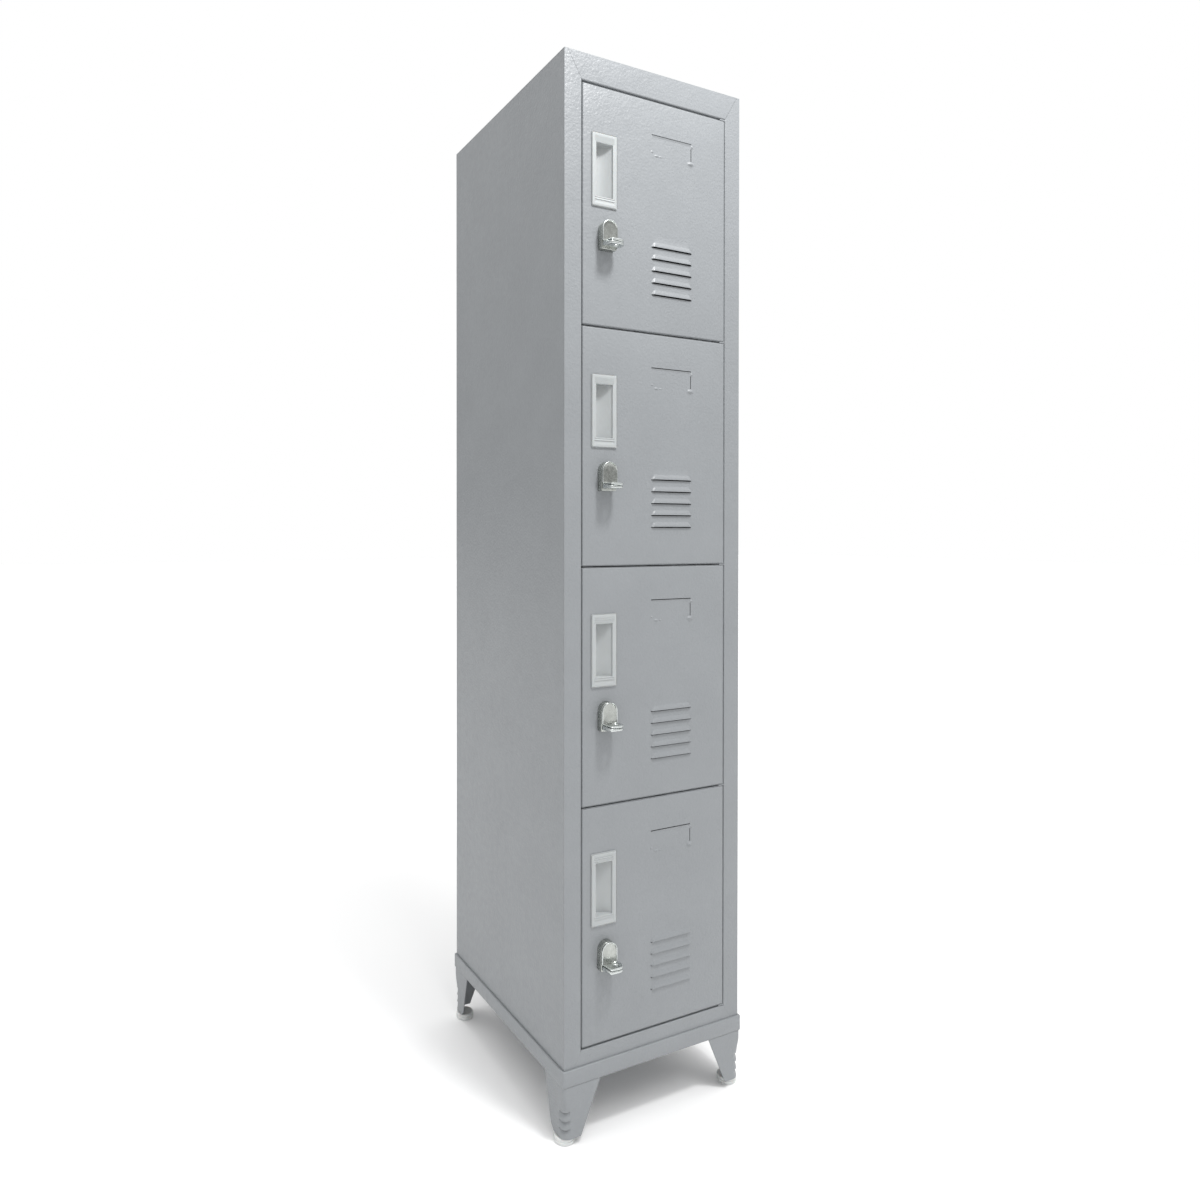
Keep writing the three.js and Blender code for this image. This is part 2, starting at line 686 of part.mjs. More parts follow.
function lockNut(spindle) {
  const near = FRONT + SHEET + FIT;
  const cornerRadius = NUT_ACROSS_FLATS / 2 / Math.cos(Math.PI / 6);
  const hex = roundBar("y", spindle, cornerRadius, near, near + NUT_THICKNESS, 6);
  return hex.subtract(roundBar("y", spindle, BARREL_RADIUS + FIT, near - 1, near + NUT_THICKNESS + 1));
}

// The hasp's lug. Left of the spindle its underside follows the circle that it swings through,
// so that it clears the fixed lug below.
function haspLug(spindle) {
  const [x, z] = spindle;
  const near = FRONT - LUG_REACH - 1;
  const plate = raised(lugPlan(x, HASP_LUG_LEFT, HASP_BACK), z - HASP_LUG_RADIUS, z - HASP_LUG_TOP, 6);
  const swing = roundBar("y", spindle, HASP_LUG_RADIUS, near, FRONT, 2 * ROUND_STEPS);
  const rightHalf = block([x, near, z - HASP_LUG_RADIUS], [x + LOCK_WIDTH, FRONT, z]);
  return plate.intersect(swing.add(rightHalf));
}

// The turning hasp: a dished face, its lug, the spindle and the spindle's square end.
function hasp(spindle) {
  const [x, z] = spindle;
  const faceOutline = lockFace(spindle, LOCK_WIDTH / 2, HASP_LUG_RADIUS);
  const swing = roundBar("y", spindle, HASP_LUG_RADIUS, HASP_FRONT - 1, HASP_BACK + 1, 2 * ROUND_STEPS);
  const face = pushed(faceOutline, HASP_FRONT, HASP_BACK, 8).intersect(swing);
  const dishOutline = lockFace(spindle, LOCK_WIDTH / 2 - HASP_RIM, HASP_LUG_TOP);
  const dish = pushed(dishOutline, HASP_FRONT - 1, HASP_FRONT + HASP_RIM, 8);
  const shaft = roundBar("y", spindle, SPINDLE_RADIUS, HASP_BACK - 1, CAM_FRONT - FIT);
  const half = TANG / 2;
  const tang = block([x - half, CAM_FRONT - 1, z - half], [x + half, CAM_BACK - FIT, z + half]);
  const holeStart = CAM_FRONT - SCREW_LENGTH - 1;
  const screwHole = roundBar("y", spindle, SCREW_RADIUS + FIT, holeStart, CAM_BACK + 1, 16);
  return face
    .subtract(dish)
    .add(haspLug(spindle))
    .add(shaft)
    .add(tang)
    .subtract(padlockHole(spindle))
    .subtract(screwHole);
}

// The cam points straight up at rest, clear of the jamb, and swings behind the jamb when turned.
function cam(spindle) {
  const [x, z] = spindle;
  const half = CAM_WIDTH / 2;
  const tip = z + CAM_REACH;
  const shape = new THREE.Shape();
  shape.moveTo(x + half, z);
  shape.lineTo(x + half, tip - CAM_CHAMFER);
  shape.lineTo(x + half - CAM_CHAMFER, tip);
  shape.lineTo(x - half + CAM_CHAMFER, tip);
  shape.lineTo(x - half, tip - CAM_CHAMFER);
  shape.lineTo(x - half, z);
  shape.absarc(x, z, half, Math.PI, 2 * Math.PI, false);
  const hole = TANG / 2 + FIT;
  return pushed(shape, CAM_FRONT, CAM_BACK, 8).subtract(
    block([x - hole, CAM_FRONT - 1, z - hole], [x + hole, CAM_BACK + 1, z + hole]),
  );
}

function camScrew(spindle) {
  const under = CAM_BACK + FIT;
  const head = roundBar("y", spindle, SCREW_HEAD_RADIUS, under, under + SCREW_HEAD, 24);
  const shank = roundBar("y", spindle, SCREW_RADIUS, CAM_FRONT - SCREW_LENGTH, under + 1, 16);
  return head.add(shank);
}

for (let index = 0; index < DOOR_COUNT; index += 1) {
  const number = index + 1;
  const top = doorTop(index);
  const spindle = [DOOR_LEFT + LOCK.across, top - LOCK.down];
  addNode(`door_panel_${number}`, doorPanel(top), PAINT);
  addNode(`handle_cup_${number}`, handleCup(top), WHITE);
  addNode(`lock_housing_${number}`, lockHousing(spindle), ZINC);
  addNode(`lock_nut_${number}`, lockNut(spindle), STEEL);
  addNode(`hasp_${number}`, hasp(spindle), ZINC);
  addNode(`lock_cam_${number}`, cam(spindle), STEEL);
  addNode(`cam_screw_${number}`, camScrew(spindle), STEEL);
}

export default group;
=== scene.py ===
"""Looks of the four-door school locker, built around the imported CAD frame. Sizes are in metres."""

import json
import math

import bmesh
import bpy
from mathutils import Matrix, Vector


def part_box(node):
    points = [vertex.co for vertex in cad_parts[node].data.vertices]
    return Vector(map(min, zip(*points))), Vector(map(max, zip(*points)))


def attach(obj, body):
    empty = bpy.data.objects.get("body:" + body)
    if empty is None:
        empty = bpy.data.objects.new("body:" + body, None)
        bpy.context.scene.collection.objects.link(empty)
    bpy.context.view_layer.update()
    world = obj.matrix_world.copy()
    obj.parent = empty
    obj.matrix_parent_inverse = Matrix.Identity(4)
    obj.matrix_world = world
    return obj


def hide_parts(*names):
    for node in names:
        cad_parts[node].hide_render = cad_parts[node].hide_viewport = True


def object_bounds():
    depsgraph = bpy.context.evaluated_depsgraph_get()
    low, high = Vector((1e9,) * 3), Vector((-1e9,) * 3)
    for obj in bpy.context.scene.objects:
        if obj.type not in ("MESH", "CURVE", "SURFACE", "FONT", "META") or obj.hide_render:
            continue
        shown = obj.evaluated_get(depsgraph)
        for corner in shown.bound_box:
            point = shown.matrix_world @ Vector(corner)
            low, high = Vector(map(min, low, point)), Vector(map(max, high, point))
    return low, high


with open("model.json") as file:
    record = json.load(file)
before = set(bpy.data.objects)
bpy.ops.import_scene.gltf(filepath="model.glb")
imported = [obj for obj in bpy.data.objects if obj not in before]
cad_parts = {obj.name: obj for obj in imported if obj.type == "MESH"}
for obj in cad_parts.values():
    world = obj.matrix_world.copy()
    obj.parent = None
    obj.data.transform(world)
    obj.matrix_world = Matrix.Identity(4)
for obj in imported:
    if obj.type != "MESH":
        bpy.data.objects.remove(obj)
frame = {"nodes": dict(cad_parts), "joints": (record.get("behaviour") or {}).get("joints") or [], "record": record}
cad_low, cad_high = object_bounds()

# ---------------------------------------------------------------- sizes, from the frame

MM = 0.001
TINY = 1e-6  # lengths below this count as nothing
JOINTS = {joint["name"]: joint for joint in frame["joints"]}
DOORS = (1, 2, 3, 4)
CORNERS = {
    "front_left": (-1, -1),
    "front_right": (1, -1),
    "back_left": (-1, 1),
    "back_right": (1, 1),
}

jamb_low, jamb_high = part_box("frame_jamb_left")
band_low, band_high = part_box("stand_rail_front")
back_rail_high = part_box("stand_rail_back")[1]
leg_low, leg_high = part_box("leg_front_left")

FRONT = jamb_low.y
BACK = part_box("back_panel")[1].y
MIDDLE_Y = (FRONT + BACK) / 2
HALF_WIDTH = -jamb_low.x
OPENING_HALF = -jamb_high.x
BODY_BOTTOM = jamb_low.z
TOP = jamb_high.z
OPENING_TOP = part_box("frame_rail_top")[0].z
OPENING_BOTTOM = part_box("frame_rail_bottom")[1].z

SHEET = 1 * MM
FOLD = 2 * MM  # outer radius of a folded sheet edge
SEAM = 0.3 * MM  # air between neighbouring pieces
MITRE_INSET = 6 * MM  # how far in from the side each mitred seam meets the top and bottom
SEAM_END = HALF_WIDTH - MITRE_INSET
MITRE_RUN = SEAM_END - OPENING_HALF

LOCK_DEPTH = 12 * MM  # how far the lock's fixed housing stands out from the door
HASP_BACK = FRONT - LOCK_DEPTH - SEAM
HASP_FRONT = HASP_BACK - 3.5 * MM
PAINTED_SHADE_START = HASP_FRONT + 0.3 * MM  # depths between which the zinc darkens into painted shade
PAINTED_SHADE_END = HASP_FRONT + 1.3 * MM
ZINC_PAINTED_SHADE = (0.38, 0.395, 0.375)  # zinc darkened with painted shade in the hasp's dish and on the lock's walls


# ---------------------------------------------------------------- materials


def new_material(name, colour, roughness, metallic=0.0):
    """A node material with its Principled shader's plain numbers set."""
    material = bpy.data.materials.new(name)
    material.use_nodes = True
    shader = material.node_tree.nodes["Principled BSDF"]
    shader.inputs["Base Color"].default_value = (*colour, 1)
    shader.inputs["Roughness"].default_value = roughness
    shader.inputs["Metallic"].default_value = metallic
    return material


def node(material, kind, **values):
    """Adds a node and sets its sockets by name, or its properties where no socket has that name."""
    made = material.node_tree.nodes.new(kind)
    for key, value in values.items():
        socket = key.replace("_", " ")
        if socket in made.inputs:
            made.inputs[socket].default_value = value
        else:
            setattr(made, key, value)
    return made


def link(material, source, output, target, socket):
    """Joins a node's output to another's socket. Both go by name or number."""
    material.node_tree.links.new(source.outputs[output], target.inputs[socket])


def noise(material, size, detail):
    """Noise in the object's own metres, whose features are about the given size."""
    place = node(material, "ShaderNodeTexCoord")
    texture = node(material, "ShaderNodeTexNoise", Scale=1 / size, Detail=detail)
    link(material, place, "Object", texture, "Vector")
    return texture


def ramp(material, source, output, stops):
    """A colour ramp over a node's output. stops are (position, colour)."""
    made = node(material, "ShaderNodeValToRGB")
    elements = made.color_ramp.elements
    while len(elements) < len(stops):
        elements.new(0.5)
    for element, (position, colour) in zip(elements, stops):
        element.position = position
        element.color = (*colour, 1)
    link(material, source, output, made, "Fac")
    return made


def grey(value):
    """A grey colour."""
    return (value, value, value)


def add_bump(material, heights):
    """Chains bumps. heights is a list of (texture, distance, strength)."""
    previous = None
    for texture, distance, strength in heights:
        bump = node(material, "ShaderNodeBump", Distance=distance, Strength=strength)
        link(material, texture, "Fac", bump, "Height")
        if previous:
            link(material, previous, "Normal", bump, "Normal")
        previous = bump
    shader = material.node_tree.nodes["Principled BSDF"]
    link(material, previous, "Normal", shader, "Normal")


def tint(material, texture, low, high):
    """Runs the base colour from low to high with a texture."""
    shader = material.node_tree.nodes["Principled BSDF"]
    colours = ramp(material, texture, "Fac", [(0.3, low), (0.7, high)])
    link(material, colours, "Color", shader, "Base Color")


def vary_roughness(material, texture, low, high):
    """Runs the roughness from low to high with a texture."""
    shader = material.node_tree.nodes["Principled BSDF"]
    levels = ramp(material, texture, "Fac", [(0.3, grey(low)), (0.7, grey(high))])
    link(material, levels, "Color", shader, "Roughness")


def scaled(colour, factor):
    """The colour, made darker or lighter by a factor."""
    return tuple(channel * factor for channel in colour)


def powder_coat():
    """Light grey powder coat: a fine orange peel over the sheet's own slow waves."""
    colour = (0.256, 0.269, 0.281)
    material = new_material("grey_powder_coat", colour, 0.4)
    tint(material, noise(material, 90 * MM, 3), scaled(colour, 0.975), scaled(colour, 1.02))
    vary_roughness(material, noise(material, 12 * MM, 3), 0.32, 0.46)
    peel = noise(material, 4.5 * MM, 2)
    grain = noise(material, 1.3 * MM, 2)
    waves = noise(material, 140 * MM, 1)
    add_bump(material, [(waves, 0.5 * MM, 0.35), (peel, 1.15 * MM, 0.6), (grain, 0.05 * MM, 0.5)])
    return material


def white_plastic(name, colour):
    """Moulded plastic with a satin skin."""
    material = new_material(name, colour, 0.38)
    material.node_tree.nodes["Principled BSDF"].inputs["Subsurface Weight"].default_value = 0.04
    tint(material, noise(material, 25 * MM, 3), scaled(colour, 0.97), scaled(colour, 1.02))
    vary_roughness(material, noise(material, 6 * MM, 3), 0.32, 0.45)
    add_bump(material, [(noise(material, 0.5 * MM, 2), 0.02 * MM, 0.4)])
    return material


# A colour Mix node has sockets of the same name for numbers and vectors, so these go by number.
MIX_FIRST_COLOUR = 6
MIX_SECOND_COLOUR = 7
MIX_COLOUR_RESULT = 2


def zinc():
    """Plated zinc casting with a soft stain. Painted shade darkens everything set back behind the hasp's front
    face, including its dish and the lock's walls, while the hasp's rim and the lugs' front parts keep the plain
    colour.
    """
    colour = (0.64, 0.67, 0.66)
    material = new_material("zinc_plating", colour, 0.2, 1.0)
    stain = noise(material, 14 * MM, 2)
    plain_stops = [(0.35, scaled(colour, 0.94)), (0.65, scaled(colour, 1.06))]
    painted_shade_stops = [(0.35, ZINC_PAINTED_SHADE), (0.65, scaled(ZINC_PAINTED_SHADE, 1.2))]
    plain_zinc = ramp(material, stain, "Fac", plain_stops)
    painted_shade_zinc = ramp(material, stain, "Fac", painted_shade_stops)
    place = node(material, "ShaderNodeTexCoord")
    split = node(material, "ShaderNodeSeparateXYZ")
    link(material, place, "Object", split, "Vector")
    # Painted shade: the further back a surface lies from the hasp's front face, the darker its zinc.
    depth = node(material, "ShaderNodeMapRange", From_Min=PAINTED_SHADE_START, From_Max=PAINTED_SHADE_END)
    link(material, split, "Y", depth, "Value")
    mixed = node(material, "ShaderNodeMix", data_type="RGBA")
    link(material, depth, "Result", mixed, "Factor")
    link(material, plain_zinc, "Color", mixed, MIX_FIRST_COLOUR)
    link(material, painted_shade_zinc, "Color", mixed, MIX_SECOND_COLOUR)
    shader = material.node_tree.nodes["Principled BSDF"]
    link(material, mixed, MIX_COLOUR_RESULT, shader, "Base Color")
    vary_roughness(material, noise(material, 5 * MM, 3), 0.2, 0.32)
    add_bump(material, [(noise(material, 2.5 * MM, 2), 0.02 * MM, 0.2)])
    return material


def steel():
    """Zinc-plated steel of the cam, nut and screw, with a faint rolled grain."""
    colour = (0.5, 0.51, 0.52)
    material = new_material("plated_steel", colour, 0.36, 1.0)
    place = node(material, "ShaderNodeTexCoord")
    stretch = node(material, "ShaderNodeMapping", Scale=(40, 40, 3))
    link(material, place, "Object", stretch, "Vector")
    grain = node(material, "ShaderNodeTexNoise", Scale=60.0, Detail=4.0)
    link(material, stretch, "Vector", grain, "Vector")
    tint(material, grain, scaled(colour, 0.9), scaled(colour, 1.06))
    vary_roughness(material, noise(material, 4 * MM, 3), 0.3, 0.45)
    add_bump(material, [(grain, 0.02 * MM, 0.3)])
    return material


MATERIALS = {
    "grey_powder_coat": powder_coat(),
    "white_plastic": white_plastic("white_plastic", (0.415, 0.428, 0.428)),
    "zinc": zinc(),
    "steel": steel(),
}
# The feet get a lighter copy of the white plastic: painted light that offsets the shade under the legs.
FOOT_PLASTIC_PAINTED_LIGHT = white_plastic("foot_plastic", (0.66, 0.67, 0.66))


# ---------------------------------------------------------------- mesh helpers

SHARP_ANGLE = math.radians(34)  # edges sharper than this stay crisp


def add_piece(name, builder, slot, body, nodes, material=None):
    """Makes a piece from a bmesh, rides it on its body and lets it stand for its CAD nodes."""
    bmesh.ops.remove_doubles(builder, verts=builder.verts, dist=TINY)
    mesh = bpy.data.meshes.new(name)
    builder.to_mesh(mesh)
    builder.free()
    piece = bpy.data.objects.new(name, mesh)
    bpy.context.scene.collection.objects.link(piece)
    shade(mesh)
    mesh.materials.append(material or MATERIALS[slot])
    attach(piece, body)
    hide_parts(*nodes)
    return piece


def shade(mesh):
    """Smooth shading with crisp sharp edges."""
    mesh.polygons.foreach_set("use_smooth", [True] * len(mesh.polygons))
    mesh.set_sharp_from_angle(angle=SHARP_ANGLE)
    mesh.update()


def thicken(piece, thickness):
    """Gives a surface the sheet's thickness, behind its outer face."""
    solid = piece.modifiers.new("sheet", "SOLIDIFY")
    solid.thickness = thickness
    solid.offset = -1
    graph = bpy.context.evaluated_depsgraph_get()
    made = bpy.data.meshes.new_from_object(piece.evaluated_get(graph))
    piece.modifiers.clear()
    piece.data = made
    shade(made)


def skin(builder, rows, closed=False):
    """Quads between neighbouring rows of points. closed joins each row's ends."""
    made = [[builder.verts.new(point) for point in row] for row in rows]
    count = len(made[0])
    for lower, upper in zip(made, made[1:]):
        for i in range(count if closed else count - 1):
            j = (i + 1) % count
            builder.faces.new((lower[i], lower[j], upper[j], upper[i]))
    return made


def arc(centre, radius, start, end, steps):
    """Points of an arc in a plane, from one angle to another in degrees."""
    points = []
    for step in range(steps + 1):
        angle = math.radians(start + (end - start) * step / steps)
        points.append((centre[0] + radius * math.cos(angle), centre[1] + radius * math.sin(angle)))
    return points


def tangent_lines(radius):
    """Distances from an edge at which a rounded edge of this radius is divided evenly."""
    turns = [math.radians(angle) for angle in (45, 33.75, 22.5, 11.25, 0)]
    return [radius * (1 - math.tan(turn)) for turn in turns]


def edge_point(radius, angle):
    """Where a rounded edge lies at an angle of its arc: how far in from each of its two faces."""
    turn = math.radians(angle)
    return radius * (1 - math.cos(turn)), radius * (1 - math.sin(turn))


def clamp(value, low, high):
    """The value, kept between two limits."""
    return max(low, min(high, value))


def smoothstep(t):
    """Eases from 0 to 1."""
    t = clamp(t, 0, 1)
    return t * t * (3 - 2 * t)


def pan(low, high, fold, across, down, relief, cut=None):
    """An open-backed pan with rounded edges.

    across and down are extra grid lines, measured from its left and top edges. relief(u, v) is how
    far a point of the front stands out, and cut(u, v) says which faces of the front are left out.
    """
    builder = bmesh.new()
    width = high.x - low.x
    height = high.z - low.z
    ends = tangent_lines(fold)
    us = sorted(set(ends + [width - value for value in ends] + list(across)))
    vs = sorted(set(ends + [height - value for value in ends] + list(down)))
    ds = sorted(set(ends + [high.y - low.y]))

    def rounded(u, depth, v):
        core = Vector(
            (clamp(u, fold, width - fold), max(depth, fold), clamp(v, fold, height - fold))
        )
        offset = Vector((u, depth, v)) - core
        point = core + offset.normalized() * fold
        if depth == 0 and fold < u < width - fold and fold < v < height - fold:
            point.y -= relief(u, v)
        return Vector((low.x + point.x, low.y + point.y, high.z - point.z))

    front = [[builder.verts.new(rounded(u, 0, v)) for u in us] for v in vs]
    for row in range(len(vs) - 1):
        for column in range(len(us) - 1):
            middle = ((us[column] + us[column + 1]) / 2, (vs[row] + vs[row + 1]) / 2)
            if cut and cut(*middle):
                continue
            a, b = front[row][column], front[row][column + 1]
            c, d = front[row + 1][column + 1], front[row + 1][column]
            builder.faces.new((a, d, c, b))
    skin(builder, [[rounded(0, depth, v) for v in reversed(vs)] for depth in reversed(ds)])
    skin(builder, [[rounded(width, depth, v) for v in vs] for depth in reversed(ds)])
    skin(builder, [[rounded(u, depth, 0) for u in us] for depth in reversed(ds)])
    skin(builder, [[rounded(u, depth, height) for u in reversed(us)] for depth in reversed(ds)])
    bmesh.ops.remove_doubles(builder, verts=builder.verts, dist=TINY)
    stray = [vert for vert in builder.verts if not vert.link_faces]
    bmesh.ops.delete(builder, geom=stray, context="VERTS")
    return builder


# ---------------------------------------------------------------- camera

CAMERA_FROM_MIDDLE = Vector((-0.920, -1.446, 1.037))  # with the cabinet's middle at Y = 0
CAMERA_YAW = 26.6
CAMERA_PITCH = -0.44
CAMERA_SHIFT = (0.0825, -0.05)
SENSOR_WIDTH = 36
FOCAL_LENGTH = 25.38
NEAR_CLIP = 0.01


def add_camera():
    """The camera, at the photograph's place and angle."""
    data = bpy.data.cameras.new("camera")
    data.sensor_width = SENSOR_WIDTH
    data.lens = FOCAL_LENGTH
    data.shift_x, data.shift_y = CAMERA_SHIFT
    data.clip_start = NEAR_CLIP
    camera = bpy.data.objects.new("camera", data)
    camera.location = CAMERA_FROM_MIDDLE + Vector((0, MIDDLE_Y, 0))
    camera.rotation_euler = (math.radians(90 + CAMERA_PITCH), 0, math.radians(-CAMERA_YAW))
    bpy.context.scene.collection.objects.link(camera)
    bpy.context.scene.camera = camera


add_camera()


# ---------------------------------------------------------------- doors

# Places on a door are measured from its left and top edges.
CARD_LEFT = 143 * MM
CARD_TOP = 58 * MM
CARD_WIDTH = 88 * MM
CARD_SLIT = 1.7 * MM
CARD_SIDE_SLIT = 1.5 * MM
CARD_SIDE_START = 9 * MM  # the side slit runs between these heights below the holder's top
CARD_SIDE_END = 32 * MM
CARD_LIP = 0.9 * MM  # how far the lip under the top slit stands out
CARD_LIP_FADE = 3 * MM
# Pressed hooks that hold the card: middle across and down from the holder's corner, half sizes
# across and down, and height.
CARD_HOOKS = (
    (1 * MM, 31 * MM, 3 * MM, 2.5 * MM, 1.2 * MM),
    (11 * MM, 37 * MM, 6 * MM, 2.5 * MM, 1.5 * MM),
    (20 * MM, 37 * MM, 4 * MM, 2 * MM, 1.0 * MM),
    (86 * MM, 37 * MM, 8 * MM, 5 * MM, 2.8 * MM),
    (89.5 * MM, 6 * MM, 3 * MM, 3 * MM, 1.6 * MM),
)
CARD_HOOK_LINES = (-1.4, -1, -0.6, -0.3, 0, 0.3, 0.6, 1, 1.4)  # grid lines, in half sizes

LOUVRE_LEFT = 143 * MM
LOUVRE_RIGHT = 232 * MM
LOUVRE_FIRST = 256 * MM  # the first louvre's lower lip
LOUVRE_PITCH = 21 * MM
LOUVRE_COUNT = 5
LOUVRE_HEIGHT = 9 * MM
LOUVRE_PROUD = 2.9 * MM
LOUVRE_END = 4 * MM  # over how much of its length each end rises
LOUVRE_SLANT = 6 * MM  # how far each end leans in by the top of the hood
LOUVRE_SLIT = 1.8 * MM  # open height under each lip
LOUVRE_CURVE = 1.2
# Grid lines, as shares of an end's length and of the hood's height.
LOUVRE_END_LINES = (0, 0.05, 0.12, 0.2, 0.3, 0.4, 0.5, 0.6, 0.7, 0.8, 0.9, 1)
LOUVRE_RISE_LINES = (0, 0.08, 0.18, 0.3, 0.45, 0.6, 0.8, 1)

CUP_HOLE_INSET = (6.7 * MM, 14.7 * MM)  # sideways and up and down, inside the cup's plate
BARREL_HOLE = 9.3 * MM  # half the hole for the lock's barrel


def louvre_bottoms():
    """How far the louvres' lips lie below the door's top."""
    return [LOUVRE_FIRST + LOUVRE_PITCH * index for index in range(LOUVRE_COUNT)]


def louvre_relief(u, v):
    """Height of the pressed hoods: slanted at both ends, rising down to an open lip."""
    for bottom in louvre_bottoms():
        if bottom - LOUVRE_HEIGHT < v <= bottom + TINY:
            rise = (v - bottom + LOUVRE_HEIGHT) / LOUVRE_HEIGHT
            from_end = min(u - LOUVRE_LEFT, LOUVRE_RIGHT - u) - LOUVRE_SLANT * (1 - rise)
            ends = math.sin(math.pi / 2 * clamp(from_end / LOUVRE_END, 0, 1))
            return LOUVRE_PROUD * ends * math.sin(math.pi / 2 * rise) ** LOUVRE_CURVE
    return 0.0


def card_relief(u, v):
    """The card holder: a lip under its top slit, and small pressed hooks."""
    u -= CARD_LEFT
    v -= CARD_TOP
    height = 0.0
    below_slit = (v - CARD_SLIT) / CARD_LIP_FADE
    if 0 < u < CARD_WIDTH and 0 <= below_slit < 1:
        height = CARD_LIP * (1 - below_slit) * smoothstep(min(u, CARD_WIDTH - u) / CARD_LIP_FADE)
    for middle_u, middle_v, half_u, half_v, hook_height in CARD_HOOKS:
        out = ((u - middle_u) / half_u) ** 2 + ((v - middle_v) / half_v) ** 2
        if out < 1:
            height = max(height, hook_height * (1 - out) ** 2)
    return height


def door_lines(cup_hole, lock):
    """Grid lines across and down a door, where its pressed features bend."""
    right = CARD_LEFT + CARD_WIDTH
    across = [CARD_LEFT, CARD_LEFT + CARD_LIP_FADE]
    across += [right - CARD_LIP_FADE, right - CARD_SIDE_SLIT, right]
    down = [CARD_TOP, CARD_TOP + CARD_SLIT, CARD_TOP + CARD_SLIT + CARD_LIP_FADE]
    down += [CARD_TOP + CARD_SIDE_START, CARD_TOP + CARD_SIDE_END]
    for middle_u, middle_v, half_u, half_v, _ in CARD_HOOKS:
        for share in CARD_HOOK_LINES:
            across.append(CARD_LEFT + middle_u + share * half_u)
            down.append(CARD_TOP + middle_v + share * half_v)
    for share in LOUVRE_END_LINES:
        step = (LOUVRE_SLANT + LOUVRE_END) * share
        across += [LOUVRE_LEFT + step, LOUVRE_RIGHT - step]
    for bottom in louvre_bottoms():
        down += [bottom - LOUVRE_HEIGHT * (1 - rise) for rise in LOUVRE_RISE_LINES]
        down.append(bottom + LOUVRE_SLIT)
    across += [cup_hole[0], cup_hole[1], lock[0] - BARREL_HOLE, lock[0] + BARREL_HOLE]
    down += [cup_hole[2], cup_hole[3], lock[1] - BARREL_HOLE, lock[1] + BARREL_HOLE]
    return across, down


def door_panel(number):
    """A pressed door with its card holder, louvres and holes."""
    name = f"door_panel_{number}"
    low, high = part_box(name)
    low.y = FRONT
    cup_low, cup_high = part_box(f"handle_cup_{number}")
    cup_hole = (
        cup_low.x + CUP_HOLE_INSET[0] - low.x,
        cup_high.x - CUP_HOLE_INSET[0] - low.x,
        high.z - cup_high.z + CUP_HOLE_INSET[1],
        high.z - cup_low.z - CUP_HOLE_INSET[1],
    )
    spindle = JOINTS[f"hasp_{number}_turn"]["pos_m"]
    lock = (spindle[0] - low.x, high.z - spindle[2])
    card_right = CARD_LEFT + CARD_WIDTH

    def relief(u, v):
        return louvre_relief(u, v) + card_relief(u, v)

    def cut(u, v):
        if cup_hole[0] < u < cup_hole[1] and cup_hole[2] < v < cup_hole[3]:
            return True
        if abs(u - lock[0]) < BARREL_HOLE and abs(v - lock[1]) < BARREL_HOLE:
            return True
        if CARD_LEFT < u < card_right and CARD_TOP < v < CARD_TOP + CARD_SLIT:
            return True
        beside_slit = CARD_TOP + CARD_SIDE_START < v < CARD_TOP + CARD_SIDE_END
        if card_right - CARD_SIDE_SLIT < u < card_right and beside_slit:
            return True
        under_lip = any(bottom < v < bottom + LOUVRE_SLIT for bottom in louvre_bottoms())
        return under_lip and LOUVRE_LEFT < u < LOUVRE_RIGHT

    across, down = door_lines(cup_hole, lock)
    builder = pan(low, high, FOLD, across, down, relief, cut)
    body = f"door_{number}"
    piece = add_piece(f"pressed_door_{number}", builder, "grey_powder_coat", body, [name])
    thicken(piece, SHEET)


# ---------------------------------------------------------------- handle cups

CUP_EDGE = 1.2 * MM
CUP_MOUTH_INSET = (8 * MM, 16 * MM)
CUP_LIP = 1.5 * MM  # width of the rounded edge about the mouth
CUP_LIP_BEND = 0.7 * MM  # where within it the grid has one more line
CUP_LIP_DROP = 0.5 * MM
CUP_DEPTH = 14 * MM
CUP_DEEP_SHARE = 0.3  # share of the mouth's width, at its left, over which the floor is deepest
CUP_SWEEP = 0.93  # share of the depth that the floor sweeps up
CUP_SWEEP_CURVE = 1.8
CUP_FLOOR_STEPS = 16
CUP_WALL = 0.5 * MM
CUP_SKIN = 0.9 * MM
RIDGE_COUNT = 3
RIDGE_PITCH = 3.6 * MM
RIDGE_DEPTH = 1.0 * MM
RIDGE_START = 4 * MM  # from the plate's upper and lower ends
RIDGE_INSET = 4.5 * MM  # from the plate's sides to where the ridges begin to rise
RIDGE_FADE = 1.5 * MM
RIDGE_STEP = 0.3 * MM  # width of the steep side of a ridge


